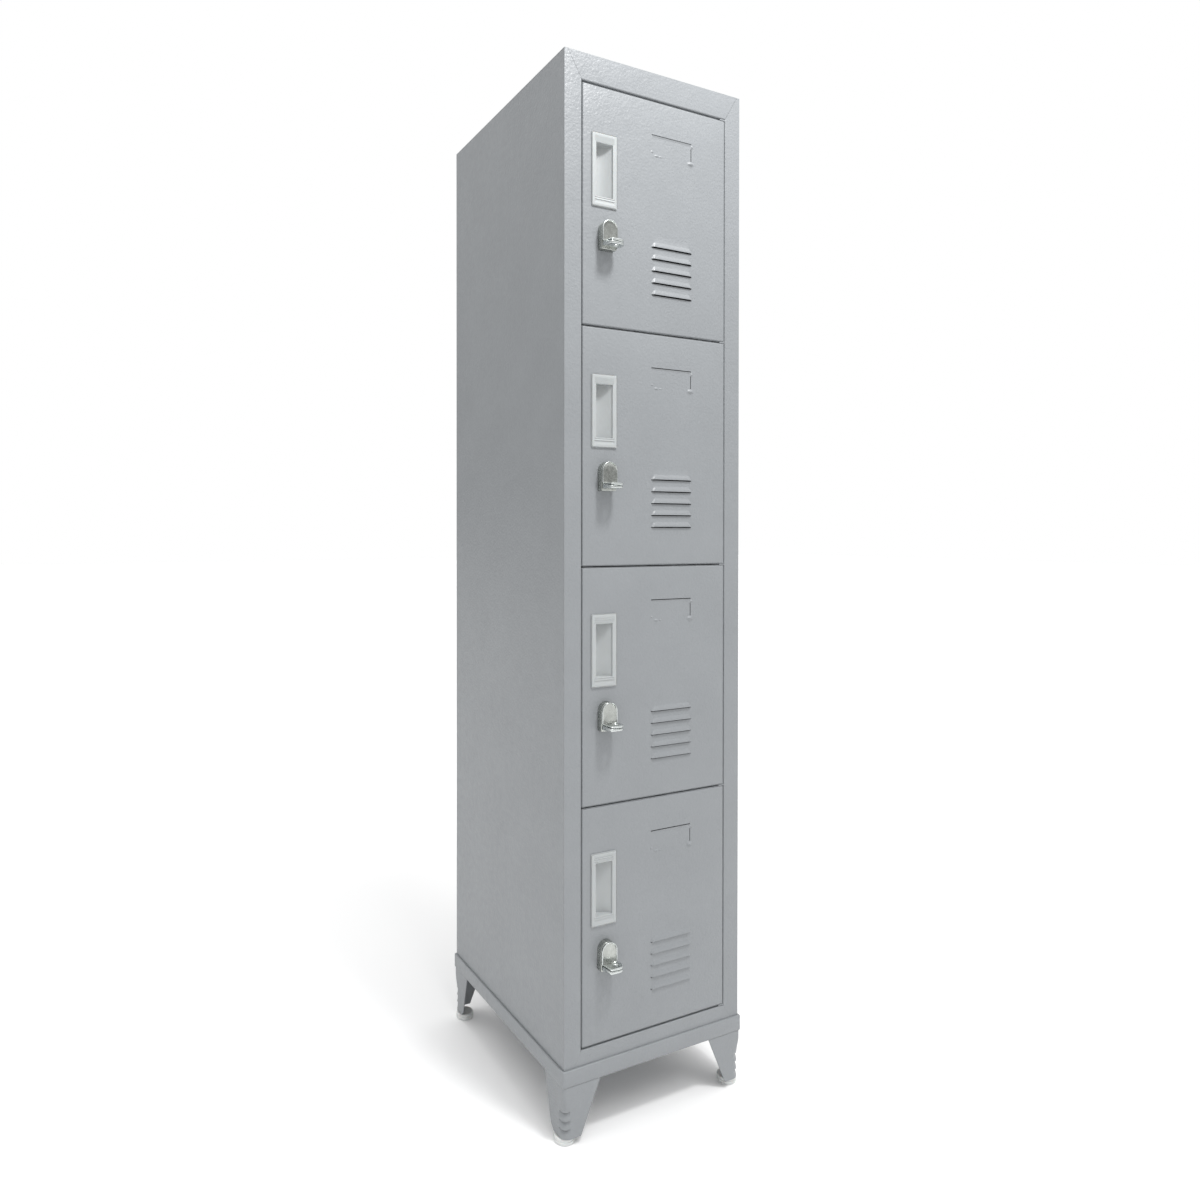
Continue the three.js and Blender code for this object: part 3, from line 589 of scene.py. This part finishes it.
def handle_cup(number):
    """A moulded cup: a plate with ridges about a mouth whose floor sweeps up to the right."""
    name = f"handle_cup_{number}"
    low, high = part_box(name)
    high.y = FRONT - SEAM
    plate_depth = high.y - low.y
    width = high.x - low.x
    height = high.z - low.z
    left, top = CUP_MOUTH_INSET
    right = width - left
    bottom = height - top

    def floor_depth(u):
        """The floor is deep at the left and sweeps up to the right."""
        across = (u - left) / (right - left)
        if across < CUP_DEEP_SHARE:
            return CUP_DEPTH
        swept = (across - CUP_DEEP_SHARE) / (1 - CUP_DEEP_SHARE)
        return CUP_DEPTH * (1 - CUP_SWEEP * swept**CUP_SWEEP_CURVE)

    def ridges(u, v):
        """Shallow steps above and below the mouth."""
        from_end = min(v, height - v)
        inside = smoothstep((min(u, width - u) - RIDGE_INSET) / RIDGE_FADE)
        along = (from_end - RIDGE_START) / RIDGE_PITCH
        if 0 < along < RIDGE_COUNT:
            return -RIDGE_DEPTH * inside * (along % 1.0)
        return 0.0

    def relief(u, v):
        if left + CUP_WALL <= u <= right - CUP_WALL and top + CUP_WALL <= v <= bottom - CUP_WALL:
            return -(floor_depth(u) + plate_depth)
        from_mouth = max(left - u, u - right, top - v, v - bottom, 0)
        return ridges(u, v) - CUP_LIP_DROP * (1 - smoothstep(from_mouth / CUP_LIP))

    ridge_end = RIDGE_INSET + RIDGE_FADE
    across = [RIDGE_INSET, ridge_end, width - ridge_end, width - RIDGE_INSET]
    across += [left - CUP_LIP, left - CUP_LIP_BEND, left, left + CUP_WALL]
    across += [right - CUP_WALL, right, right + CUP_LIP_BEND, right + CUP_LIP]
    span = right - left - 2 * CUP_WALL
    across += [left + CUP_WALL + span * step / CUP_FLOOR_STEPS for step in range(1, CUP_FLOOR_STEPS)]
    down = [top - CUP_LIP, top - CUP_LIP_BEND, top, top + CUP_WALL]
    down += [bottom - CUP_WALL, bottom, bottom + CUP_LIP_BEND, bottom + CUP_LIP]
    for index in range(RIDGE_COUNT + 1):
        place = RIDGE_START + index * RIDGE_PITCH
        down += [place, place - RIDGE_STEP, height - place, height - place + RIDGE_STEP]
    builder = pan(low, high, CUP_EDGE, across, down, relief)
    piece = add_piece(f"moulded_cup_{number}", builder, "white_plastic", f"door_{number}", [name])
    thicken(piece, CUP_SKIN)


# ---------------------------------------------------------------- hasp locks

# Heights and distances are measured from the axis that the hasp turns about.
LOCK_HALF = 15.5 * MM
LOCK_FOOT = 34.5 * MM  # how far the housing reaches down
LOCK_CORNER = 2.5 * MM
LOCK_LEAST_CORNER = 0.4 * MM
LOCK_ROUND = 1.3 * MM
BARREL = 9 * MM
SPINDLE = 5 * MM
TANG = 2 * MM  # length of the spindle's square end, left out here because the cam hides it
OVERLAP = 1 * MM  # how far the shapes of one casting run into each other
FIXED_LUG_TOP = 26 * MM  # how far down the top of the housing's lug lies
HASP_RADIUS = 25.7 * MM
HASP_LUG_TOP = 21.2 * MM
HASP_LUG_LEFT = 12.5 * MM
LUG = 4.5 * MM  # thickness of a lug, with its gap
LUG_ROUND = 1.4 * MM
LUG_GAP = 0.4 * MM  # taken off the facing side of each lug
LUG_SLANT = 4.5 * MM  # how far the lug's left side leans in by its nose
LUG_REACH = 34 * MM  # how far a lug stands out from the door
LUG_LEFT = 14.5 * MM
LUG_RIGHT = 19.5 * MM
LUG_NOSE_LEFT = 3 * MM  # radii of the nose's two corners
LUG_NOSE_RIGHT = 11 * MM
PADLOCK_OFFSET = 6 * MM
PADLOCK_RADIUS = 4.5 * MM
PADLOCK_WALL = 4.5 * MM  # metal between the padlock hole and the lug's nose
ROUNDING_ANGLES = (0, 30, 60, 90)
BAR_SIDES = 32
BAR_CHAMFER = 0.6 * MM


def lock_ring(spindle, y, inset, foot, swing=None):
    """The lock's outline seen from the front, pulled in by inset, at a depth y.

    foot is how far it reaches below the spindle. swing rounds that end about the spindle.
    """
    half = LOCK_HALF - inset
    bottom = -(foot - inset)
    corner = max(LOCK_CORNER - inset, LOCK_LEAST_CORNER)
    points = arc((0, 0), half, 0, 180, 18)
    points += [(-half, bottom * 0.4), (-half, bottom + 2 * LOCK_CORNER)]
    points += arc((-half + corner, bottom + corner), corner, 180, 270, 4)
    for share in (-0.6, -0.3, 0, 0.3, 0.6):
        points.append((half * share, bottom))
    points += arc((half - corner, bottom + corner), corner, 270, 360, 4)
    points += [(half, bottom + 2 * LOCK_CORNER), (half, bottom * 0.4)]
    placed = []
    for x, z in points:
        if swing and math.hypot(x, z) > swing - inset:
            z = -math.sqrt((swing - inset) ** 2 - x * x)
        placed.append(Vector((spindle[0] + x, y, spindle[2] + z)))
    return placed


def lug_outline(x, left, rear):
    """Plan of a lug: out from the lock to a tight left corner and a wide right one."""
    nose = FRONT - LUG_REACH
    right = x + LUG_RIGHT
    nose_left = x - LUG_LEFT + LUG_SLANT
    points = [(x - left, rear), (x - left, HASP_FRONT - 1 * MM)]
    points += arc((nose_left + LUG_NOSE_LEFT, nose + LUG_NOSE_LEFT), LUG_NOSE_LEFT, 190, 270, 5)
    points += arc((right - LUG_NOSE_RIGHT, nose + LUG_NOSE_RIGHT), LUG_NOSE_RIGHT, 270, 360, 9)
    points += [(right, HASP_FRONT), (x + LOCK_HALF, rear)]
    return points


def padlock_hole(x):
    """Plan of the padlock hole in a lug."""
    centre = (x + PADLOCK_OFFSET, FRONT - LUG_REACH + PADLOCK_WALL + PADLOCK_RADIUS)
    return arc(centre, PADLOCK_RADIUS, 360, 0, 28)[:-1]


def lug_mesh(x, left, rear, middle_z):
    """A lug as a mesh: a flat plate with rounded edges and a round hole, from a filled curve."""
    curve = bpy.data.curves.new("lug", "CURVE")
    curve.dimensions = "2D"
    curve.fill_mode = "BOTH"
    curve.extrude = (LUG - LUG_GAP) / 2 - LUG_ROUND
    curve.bevel_depth = LUG_ROUND
    curve.bevel_resolution = 2
    curve.offset = -LUG_ROUND
    for loop in (lug_outline(x, left, rear), padlock_hole(x)):
        spline = curve.splines.new("POLY")
        spline.points.add(len(loop) - 1)
        for point, place in zip(spline.points, loop):
            point.co = (*place, 0, 1)
        spline.use_cyclic_u = True
    holder = bpy.data.objects.new("lug", curve)
    bpy.context.scene.collection.objects.link(holder)
    graph = bpy.context.evaluated_depsgraph_get()
    mesh = bpy.data.meshes.new_from_object(holder.evaluated_get(graph))
    bpy.data.objects.remove(holder)
    mesh.transform(Matrix.Translation((0, 0, middle_z)))
    return mesh


def solid_of_rings(builder, rings):
    """A closed solid through the rings."""
    made = skin(builder, rings, closed=True)
    builder.faces.new(list(reversed(made[0])))
    builder.faces.new(made[-1])


def rounded_front(spindle, front, rounding, foot, swing=None):
    """Rings of a lock part's edge as it rounds over into its front face."""
    rings = []
    for angle in ROUNDING_ANGLES:
        inset, behind = edge_point(rounding, angle)
        rings.append(lock_ring(spindle, front + behind, inset, foot, swing))
    return rings


def round_bar(builder, spindle, radius, back, front):
    """A round bar along Y about a spindle, with a small chamfer at its back end."""
    rings = []
    ends = ((radius - BAR_CHAMFER, back), (radius, back - BAR_CHAMFER), (radius, front))
    for ring_radius, y in ends:
        circle = arc((spindle[0], spindle[2]), ring_radius, 0, 360, BAR_SIDES)[:-1]
        rings.append([Vector((x, y, z)) for x, z in circle])
    solid_of_rings(builder, rings)


def lock_housing(number):
    """The lock's fixed casting: a housing, its barrel and the lower lug.

    At its left the lug's top follows a circle just outside the hasp's, so that the hasp can turn.
    """
    name = f"lock_housing_{number}"
    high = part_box(name)[1]
    spindle = JOINTS[f"hasp_{number}_turn"]["pos_m"]
    builder = bmesh.new()
    rings = [lock_ring(spindle, FRONT - SEAM, 0, LOCK_FOOT)]
    rings += rounded_front(spindle, FRONT - LOCK_DEPTH, LOCK_ROUND, LOCK_FOOT)
    solid_of_rings(builder, rings)
    round_bar(builder, spindle, BARREL, high.y, FRONT - OVERLAP)
    middle = spindle[2] - FIXED_LUG_TOP - (LUG + LUG_GAP) / 2
    lug = lug_mesh(spindle[0], LUG_LEFT, FRONT - LOCK_DEPTH + OVERLAP, middle)
    bottom = spindle[2] - FIXED_LUG_TOP - LUG
    for vert in lug.vertices:
        x = clamp(vert.co.x - spindle[0], -LUG_LEFT, 0)
        lift = FIXED_LUG_TOP - math.sqrt(FIXED_LUG_TOP**2 - x * x)
        vert.co.z += lift * clamp((vert.co.z - bottom) / LUG, 0, 1)
    builder.from_mesh(lug)
    bmesh.ops.recalc_face_normals(builder, faces=builder.faces)
    add_piece(f"cast_lock_{number}", builder, "zinc", f"door_{number}", [name])


HASP_ROUND = 0.8 * MM
RIM = 1.3 * MM
DISH = 2.4 * MM
# The dish within the rim: how far in from the edge, and the share of its depth there.
DISH_STEPS = ((RIM, 0), (RIM + 0.5 * MM, 0.35), (2.4 * MM, 0.75), (4 * MM, 0.92), (8 * MM, 1))


def hasp(number):
    """The turning hasp with its dish, spindle and upper lug.

    At its left the lug's underside follows the hasp's own circle.
    """
    name = f"hasp_{number}"
    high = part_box(name)[1]
    spindle = JOINTS[f"hasp_{number}_turn"]["pos_m"]
    builder = bmesh.new()
    rings = [lock_ring(spindle, HASP_BACK, 0, HASP_RADIUS, HASP_RADIUS)]
    rings += rounded_front(spindle, HASP_FRONT, HASP_ROUND, HASP_RADIUS, HASP_RADIUS)
    for inset, share in DISH_STEPS:
        y = HASP_FRONT + share * DISH
        rings.append(lock_ring(spindle, y, inset, HASP_LUG_TOP + inset, HASP_RADIUS))
    solid_of_rings(builder, rings)
    round_bar(builder, spindle, SPINDLE, high.y - TANG, HASP_BACK - OVERLAP)
    top = spindle[2] - HASP_LUG_TOP
    lug = lug_mesh(spindle[0], HASP_LUG_LEFT, HASP_BACK - 0.5 * MM, top - (LUG - LUG_GAP) / 2)
    for vert in lug.vertices:
        x = min(0, vert.co.x - spindle[0])
        lift = HASP_RADIUS - math.sqrt(HASP_RADIUS**2 - x * x)
        vert.co.z += lift * clamp((top - vert.co.z) / LUG, 0, 1)
    builder.from_mesh(lug)
    bmesh.ops.recalc_face_normals(builder, faces=builder.faces)
    add_piece(f"cast_hasp_{number}", builder, "zinc", f"hasp_body_{number}", [name])


# ---------------------------------------------------------------- front frame

FOLD_STEPS = 5
MIDDLE_FOLD = FOLD - SHEET / 2  # radius of the middle of a folded sheet


def folded_line(points):
    """Pairs of points, on both faces of a sheet folded along a line with round folds."""
    line = [Vector(point) for point in points]

    def normal_of(a, b):
        along = (b - a).normalized()
        return Vector((-along.y, along.x))

    pairs = [(line[0], normal_of(line[0], line[1]))]
    for before, at, after in zip(line, line[1:], line[2:]):
        first = normal_of(before, at)
        second = normal_of(at, after)
        turn = math.atan2(first.x * second.y - first.y * second.x, first.dot(second))
        side = math.copysign(1, turn)
        setback = MIDDLE_FOLD * math.tan(abs(turn) / 2)
        start = at - (at - before).normalized() * setback
        centre = start + first * side * MIDDLE_FOLD
        for step in range(FOLD_STEPS + 1):
            normal = first.copy()
            normal.rotate(Matrix.Rotation(turn * step / FOLD_STEPS, 2))
            pairs.append((centre - normal * side * MIDDLE_FOLD, normal))
    pairs.append((line[-1], normal_of(line[-2], line[-1])))
    half = SHEET / 2
    return [(point + normal * half, point - normal * half) for point, normal in pairs]


def folded_prism(pairs, place, start, end):
    """A folded sheet drawn out from start(a, b) to end(a, b), which may slant.

    a and b are the section's own directions, and place(a, b, c) gives the point.
    """
    builder = bmesh.new()
    ring = [pair[0] for pair in pairs] + [pair[1] for pair in reversed(pairs)]
    rows = []
    for limit in (start, end):
        rows.append([place(point.x, point.y, limit(point.x, point.y)) for point in ring])
    made = skin(builder, rows, closed=True)
    count = len(pairs)
    for row in made:
        for i in range(count - 1):
            builder.faces.new((row[i], row[i + 1], row[2 * count - 2 - i], row[2 * count - 1 - i]))
    bmesh.ops.recalc_face_normals(builder, faces=builder.faces)
    return builder


def upper_seam_height(x):
    """Height of the upper mitred seams at a distance from the middle."""
    return OPENING_TOP + (abs(x) - OPENING_HALF) * (TOP - OPENING_TOP) / MITRE_RUN


def lower_seam_height(x):
    """Height of the lower mitred seams at a distance from the middle."""
    return OPENING_BOTTOM - (abs(x) - OPENING_HALF) * (OPENING_BOTTOM - BODY_BOTTOM) / MITRE_RUN


def upper_seam_half(z):
    """Distance of the upper mitred seams from the middle at a height."""
    return OPENING_HALF + max(0, z - OPENING_TOP) * MITRE_RUN / (TOP - OPENING_TOP)


def lower_seam_half(z):
    """Distance of the lower mitred seams from the middle at a height."""
    return OPENING_HALF + max(0, OPENING_BOTTOM - z) * MITRE_RUN / (OPENING_BOTTOM - BODY_BOTTOM)


def jamb(side):
    """An upright of the front frame, with mitred ends."""
    label = "left" if side < 0 else "right"
    name = f"frame_jamb_{label}"
    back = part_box(name)[1].y
    front = FRONT + SHEET / 2
    inner = side * (OPENING_HALF + SHEET / 2)
    edge = side * SEAM_END
    outer = side * HALF_WIDTH
    pairs = folded_line([(inner, back), (inner, front), (edge, front), (outer, front)])

    def place(x, y, z):
        return Vector((x, y, z))

    def lower_end(x, y):
        if abs(x) > SEAM_END + TINY:
            return BODY_BOTTOM
        return max(BODY_BOTTOM, lower_seam_height(x) - SEAM)

    def upper_end(x, y):
        if abs(x) > SEAM_END + TINY:
            return TOP
        return min(TOP, upper_seam_height(x) - SEAM)

    builder = folded_prism(pairs, place, lower_end, upper_end)
    add_piece(f"folded_jamb_{label}", builder, "grey_powder_coat", "cabinet", [name])


def frame_rail(name, outer_z, inner_z, seam_half):
    """A rail of the front frame, with mitred ends. seam_half(z) is the seams' distance out."""
    inward = math.copysign(SHEET / 2, inner_z - outer_z)
    front = FRONT + SHEET / 2
    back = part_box(name)[1].y
    pairs = folded_line([(front, outer_z), (front, inner_z - inward), (back, inner_z - inward)])

    def place(y, z, x):
        return Vector((x, y, z))

    def right_end(y, z):
        if y > FRONT + FOLD:
            return OPENING_HALF - SEAM
        return seam_half(z) - SEAM

    def left_end(y, z):
        return -right_end(y, z)

    builder = folded_prism(pairs, place, left_end, right_end)
    add_piece(f"folded_{name}", builder, "grey_powder_coat", "cabinet", [name])


# ---------------------------------------------------------------- stand

# The ring is an angle bar: an upright band with a ledge that the cabinet stands on.
BAND_THICKNESS = 3.7 * MM
BAND_ROUND = 1.6 * MM
LEDGE = 20 * MM
LEDGE_THICKNESS = 2 * MM
RING_CORNER = 2.5 * MM
RING_CORNER_STEPS = 4
RING_CORNERS = ((1, -1, -90), (1, 1, 0), (-1, 1, 90), (-1, -1, 180))  # signs, start angle


def stand_ring():
    """The four rails of the stand, welded and ground into one ring of angle section."""
    half_x = -band_low.x
    half_y = (back_rail_high.y - band_low.y) / 2
    low, high = band_low.z, band_high.z
    section = []
    for angle in reversed(ROUNDING_ANGLES):
        inset, up = edge_point(BAND_ROUND, angle)
        section.append((inset, low + up))
    for angle in ROUNDING_ANGLES:
        inset, down = edge_point(BAND_ROUND, angle)
        section.append((inset, high - down))
    section += [(BAND_THICKNESS, high), (BAND_THICKNESS, low + LEDGE_THICKNESS)]
    section += [(BAND_THICKNESS + LEDGE, low + LEDGE_THICKNESS), (BAND_THICKNESS + LEDGE, low)]
    rows = []
    for sx, sy, start in RING_CORNERS:
        for out_x, out_y in arc((0, 0), 1, start, start + 90, RING_CORNER_STEPS):
            row = []
            for inset, z in section:
                radius = max(RING_CORNER - inset, 0)
                reach = max(inset, RING_CORNER)
                x = sx * (half_x - reach) + out_x * radius
                y = sy * (half_y - reach) + out_y * radius
                row.append(Vector((x, y + MIDDLE_Y, z)))
            rows.append(row)
    builder = bmesh.new()
    skin(builder, rows + rows[:1], closed=True)
    bmesh.ops.remove_doubles(builder, verts=builder.verts, dist=TINY)
    bmesh.ops.recalc_face_normals(builder, faces=builder.faces)
    rails = [f"stand_rail_{side}" for side in ("front", "right", "back", "left")]
    add_piece("welded_stand_ring", builder, "grey_powder_coat", "cabinet", rails)


LEG_SHEET = 2 * MM
# Widths of the leg's front and side flanges, and the radius of the fold between them.
LEG_FRONT_TOP = 72 * MM
LEG_FRONT_BOTTOM = 33 * MM
LEG_SIDE_TOP = 60 * MM
LEG_SIDE_BOTTOM = 40 * MM
LEG_SIDE_TAPER = 0.9  # share of the leg's height over which its side tapers
LEG_SIDE_CHAMFER = 9 * MM
LEG_FOLD_TOP = 3 * MM
LEG_FOLD_BOTTOM = 13 * MM
LEG_FOLD_START = 0.12  # where down the leg its fold begins to widen, and over how much of it
LEG_FOLD_RUN = 0.4
LEG_LEVELS = 110
LEG_FOLD_STEPS = 14
LEG_FLAT_SHARES = (0.2, 0.4, 0.6, 0.8, 1)
RIB_HEIGHTS = (61 * MM, 45.5 * MM, 31 * MM)  # above the floor
RIB_DEPTH = 6.5 * MM
RIB_LENGTH = 12.5 * MM
RIB_DROOP = 3.2 * MM  # how much higher the ends of a crescent are than its middle
RIB_EDGE = 0.12  # height of the sharp upper edge, as a share of the length
RIB_CURVE = 1.5


def rib_dent(z, along):
    """Depth of the pressed crescents across the fold: a sharp upper edge, easing out downwards.

    along runs from -1 to 1 across the fold.
    """
    depth = 0.0
    across = RIB_DEPTH * math.sqrt(max(0.0, 1 - along * along))
    for rib in RIB_HEIGHTS:
        below = (rib - RIB_DROOP * (1 - along * along) - z) / RIB_LENGTH
        if 0 <= below < 1:
            depth = max(depth, across * (1 - below) ** RIB_CURVE)
        elif -RIB_EDGE < below < 0:
            depth = max(depth, across * (1 + below / RIB_EDGE))
    return depth


def leg_section(z, top, bottom):
    """Plan of a leg at a height, as distances in from the sheet's two outer faces."""
    t = (top - z) / (top - bottom)
    front = LEG_FRONT_TOP + (LEG_FRONT_BOTTOM - LEG_FRONT_TOP) * t
    side = LEG_SIDE_TOP + (LEG_SIDE_BOTTOM - LEG_SIDE_TOP) * min(1, t / LEG_SIDE_TAPER)
    side -= max(0, LEG_SIDE_CHAMFER - (z - bottom))
    widening = smoothstep((t - LEG_FOLD_START) / LEG_FOLD_RUN)
    fold = LEG_FOLD_TOP + (LEG_FOLD_BOTTOM - LEG_FOLD_TOP) * widening
    points = [(fold + (front - fold) * share, 0) for share in reversed(LEG_FLAT_SHARES)]
    for step in range(LEG_FOLD_STEPS + 1):
        angle = math.pi / 2 * step / LEG_FOLD_STEPS
        radius = fold - rib_dent(z, 2 * step / LEG_FOLD_STEPS - 1)
        points.append((fold - radius * math.sin(angle), fold - radius * math.cos(angle)))
    points += [(0, fold + (side - fold) * share) for share in LEG_FLAT_SHARES]
    return points


def leg(corner):
    """A folded, tapering leg."""
    sx, sy = CORNERS[corner]
    outer_x = -leg_low.x
    outer_y = MIDDLE_Y - leg_low.y
    top, bottom = leg_high.z, leg_low.z
    rows = []
    for level in range(LEG_LEVELS + 1):
        z = top + (bottom - top) * level / LEG_LEVELS
        row = []
        for u, v in leg_section(z, top, bottom):
            row.append(Vector((sx * (outer_x - u), MIDDLE_Y + sy * (outer_y - v), z)))
        rows.append(row)
    builder = bmesh.new()
    skin(builder, rows)
    if sx * sy > 0:
        bmesh.ops.reverse_faces(builder, faces=builder.faces)
    name = f"folded_leg_{corner}"
    piece = add_piece(name, builder, "grey_powder_coat", "cabinet", [f"leg_{corner}"])
    thicken(piece, LEG_SHEET)


FOOT_HEIGHT = 12.7 * MM  # height of the part that shows under the leg
FOOT_RIM = 2.2 * MM
FOOT_SHOULDER = 0.3 * MM  # how much narrower the foot is above its groove
FOOT_GROOVE = 0.55 * FOOT_HEIGHT
FOOT_GROOVE_DEPTH = 0.8 * MM
FOOT_SIDES = 48


def foot_profile(radius):
    """Radius and height of a foot's outline, from the floor up."""
    neck = radius - FOOT_GROOVE_DEPTH
    rim = radius - FOOT_RIM
    points = [(0, 0), (rim, 0)]
    points += arc((rim, FOOT_RIM), FOOT_RIM, -90, 0, 5)[1:]
    points += [(radius, FOOT_GROOVE - 1 * MM), (neck, FOOT_GROOVE - 0.4 * MM)]
    points += [(neck, FOOT_GROOVE + 0.4 * MM), (radius - FOOT_SHOULDER, FOOT_GROOVE + 1 * MM)]
    points += arc((rim, FOOT_HEIGHT - FOOT_RIM), FOOT_RIM - FOOT_SHOULDER, 0, 90, 5)
    points.append((rim - 1 * MM, FOOT_HEIGHT - FOOT_SHOULDER))
    points += [(radius - 6 * MM, FOOT_HEIGHT - 1 * MM), (0, FOOT_HEIGHT - 1 * MM)]
    return points


def foot(corner):
    """A round moulded foot."""
    name = f"foot_{corner}"
    low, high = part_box(name)
    middle = (low + high) / 2
    around = arc((0, 0), 1, 0, 360, FOOT_SIDES)[:-1]
    rows = []
    for radius, z in foot_profile((high.x - low.x) / 2):
        rows.append([Vector((middle.x + radius * x, middle.y + radius * y, z)) for x, y in around])
    builder = bmesh.new()
    skin(builder, rows, closed=True)
    bmesh.ops.remove_doubles(builder, verts=builder.verts, dist=TINY)
    bmesh.ops.dissolve_degenerate(builder, edges=builder.edges, dist=TINY)
    bmesh.ops.recalc_face_normals(builder, faces=builder.faces)
    piece_name = f"moulded_foot_{corner}"
    # The lighter plastic here is painted light against the shade under the leg.
    add_piece(piece_name, builder, "white_plastic", "cabinet", [name], material=FOOT_PLASTIC_PAINTED_LIGHT)


# ---------------------------------------------------------------- CAD solids shown as they are

SOFTENED = ("side_panel", "shelf", "pivot_bracket", "lock_nut", "lock_cam", "cam_screw")
EDGE_BEVEL = 0.35 * MM
EDGE_ANGLE = math.radians(40)


def soften_edges(cad_object):
    """Breaks the sharp edges of a CAD solid."""
    bevel = cad_object.modifiers.new("edges", "BEVEL")
    bevel.width = EDGE_BEVEL
    bevel.segments = 2
    bevel.limit_method = "ANGLE"
    bevel.angle_limit = EDGE_ANGLE
    bevel.harden_normals = True


# ---------------------------------------------------------------- floor and light

HORIZON_LIGHT = 0.28
ZENITH_LIGHT = 1.48
KEY_PLACE = (0.12, FRONT - 0.85, TOP + 0.85)
KEY_TARGET = (0, FRONT, 1.3)
KEY_SIZE = 0.32
KEY_POWER = 25
OVERHEAD_DIRECTION = (-0.08, 0.52, -0.85)
OVERHEAD_SPREAD = 22
OVERHEAD_STRENGTH = 0.45
FLOOR_REACH = 30


def studio_world(horizon, zenith):
    """A white backdrop, whose light on the object runs from the horizon's strength to the zenith's."""
    world = bpy.data.worlds.new("studio")
    world.use_nodes = True
    background = world.node_tree.nodes["Background"]
    background.inputs["Color"].default_value = (1, 1, 1, 1)
    place = node(world, "ShaderNodeTexCoord")
    split = node(world, "ShaderNodeSeparateXYZ")
    link(world, place, "Generated", split, "Vector")
    light = node(world, "ShaderNodeMapRange", To_Min=horizon, To_Max=zenith)
    link(world, split, "Z", light, "Value")
    ray = node(world, "ShaderNodeLightPath")
    chosen = node(world, "ShaderNodeMix", B=1.0)
    link(world, ray, "Is Camera Ray", chosen, "Factor")
    link(world, light, "Result", chosen, "A")
    link(world, chosen, "Result", background, "Strength")
    bpy.context.scene.world = world


def area_light(name, place, target, size, power):
    """A round soft box at a place, facing a target."""
    data = bpy.data.lights.new(name, "AREA")
    data.shape = "DISK"
    data.size = size
    data.energy = power
    light = bpy.data.objects.new(name, data)
    light.location = place
    light.rotation_euler = (Vector(target) - Vector(place)).to_track_quat("-Z", "Y").to_euler()
    bpy.context.scene.collection.objects.link(light)


def sun_light(name, direction, angle, strength):
    """Far overhead light, as from a high soft box."""
    data = bpy.data.lights.new(name, "SUN")
    data.angle = math.radians(angle)
    data.energy = strength
    light = bpy.data.objects.new(name, data)
    light.rotation_euler = Vector(direction).to_track_quat("-Z", "Y").to_euler()
    bpy.context.scene.collection.objects.link(light)


def add_floor():
    """The plain white floor."""
    builder = bmesh.new()
    bmesh.ops.create_grid(builder, x_segments=1, y_segments=1, size=FLOOR_REACH)
    mesh = bpy.data.meshes.new("floor")
    builder.to_mesh(mesh)
    builder.free()
    floor = bpy.data.objects.new("floor", mesh)
    floor.location = (0, 0, cad_low.z)
    mesh.materials.append(new_material("pale_floor", grey(0.94), 0.8))
    bpy.context.scene.collection.objects.link(floor)


# ---------------------------------------------------------------- assembly

for number in DOORS:
    door_panel(number)
    handle_cup(number)
    lock_housing(number)
    hasp(number)

jamb(-1)
jamb(1)
frame_rail("frame_rail_top", TOP, OPENING_TOP, upper_seam_half)
frame_rail("frame_rail_bottom", BODY_BOTTOM, OPENING_BOTTOM, lower_seam_half)
stand_ring()
for corner in CORNERS:
    leg(corner)
    foot(corner)

CAD_SLOTS = {entry["node"]: entry["material_slot"] for entry in frame["record"]["subparts"]}
for node_name, cad_object in frame["nodes"].items():
    cad_object.data.materials.clear()
    cad_object.data.materials.append(MATERIALS[CAD_SLOTS[node_name]])
    if node_name.endswith("_panel") or node_name.startswith(SOFTENED):
        soften_edges(cad_object)

bpy.context.scene.view_settings.view_transform = "Standard"
studio_world(HORIZON_LIGHT, ZENITH_LIGHT)
area_light("key", KEY_PLACE, KEY_TARGET, KEY_SIZE, KEY_POWER)
sun_light("overhead", OVERHEAD_DIRECTION, OVERHEAD_SPREAD, OVERHEAD_STRENGTH)
add_floor()
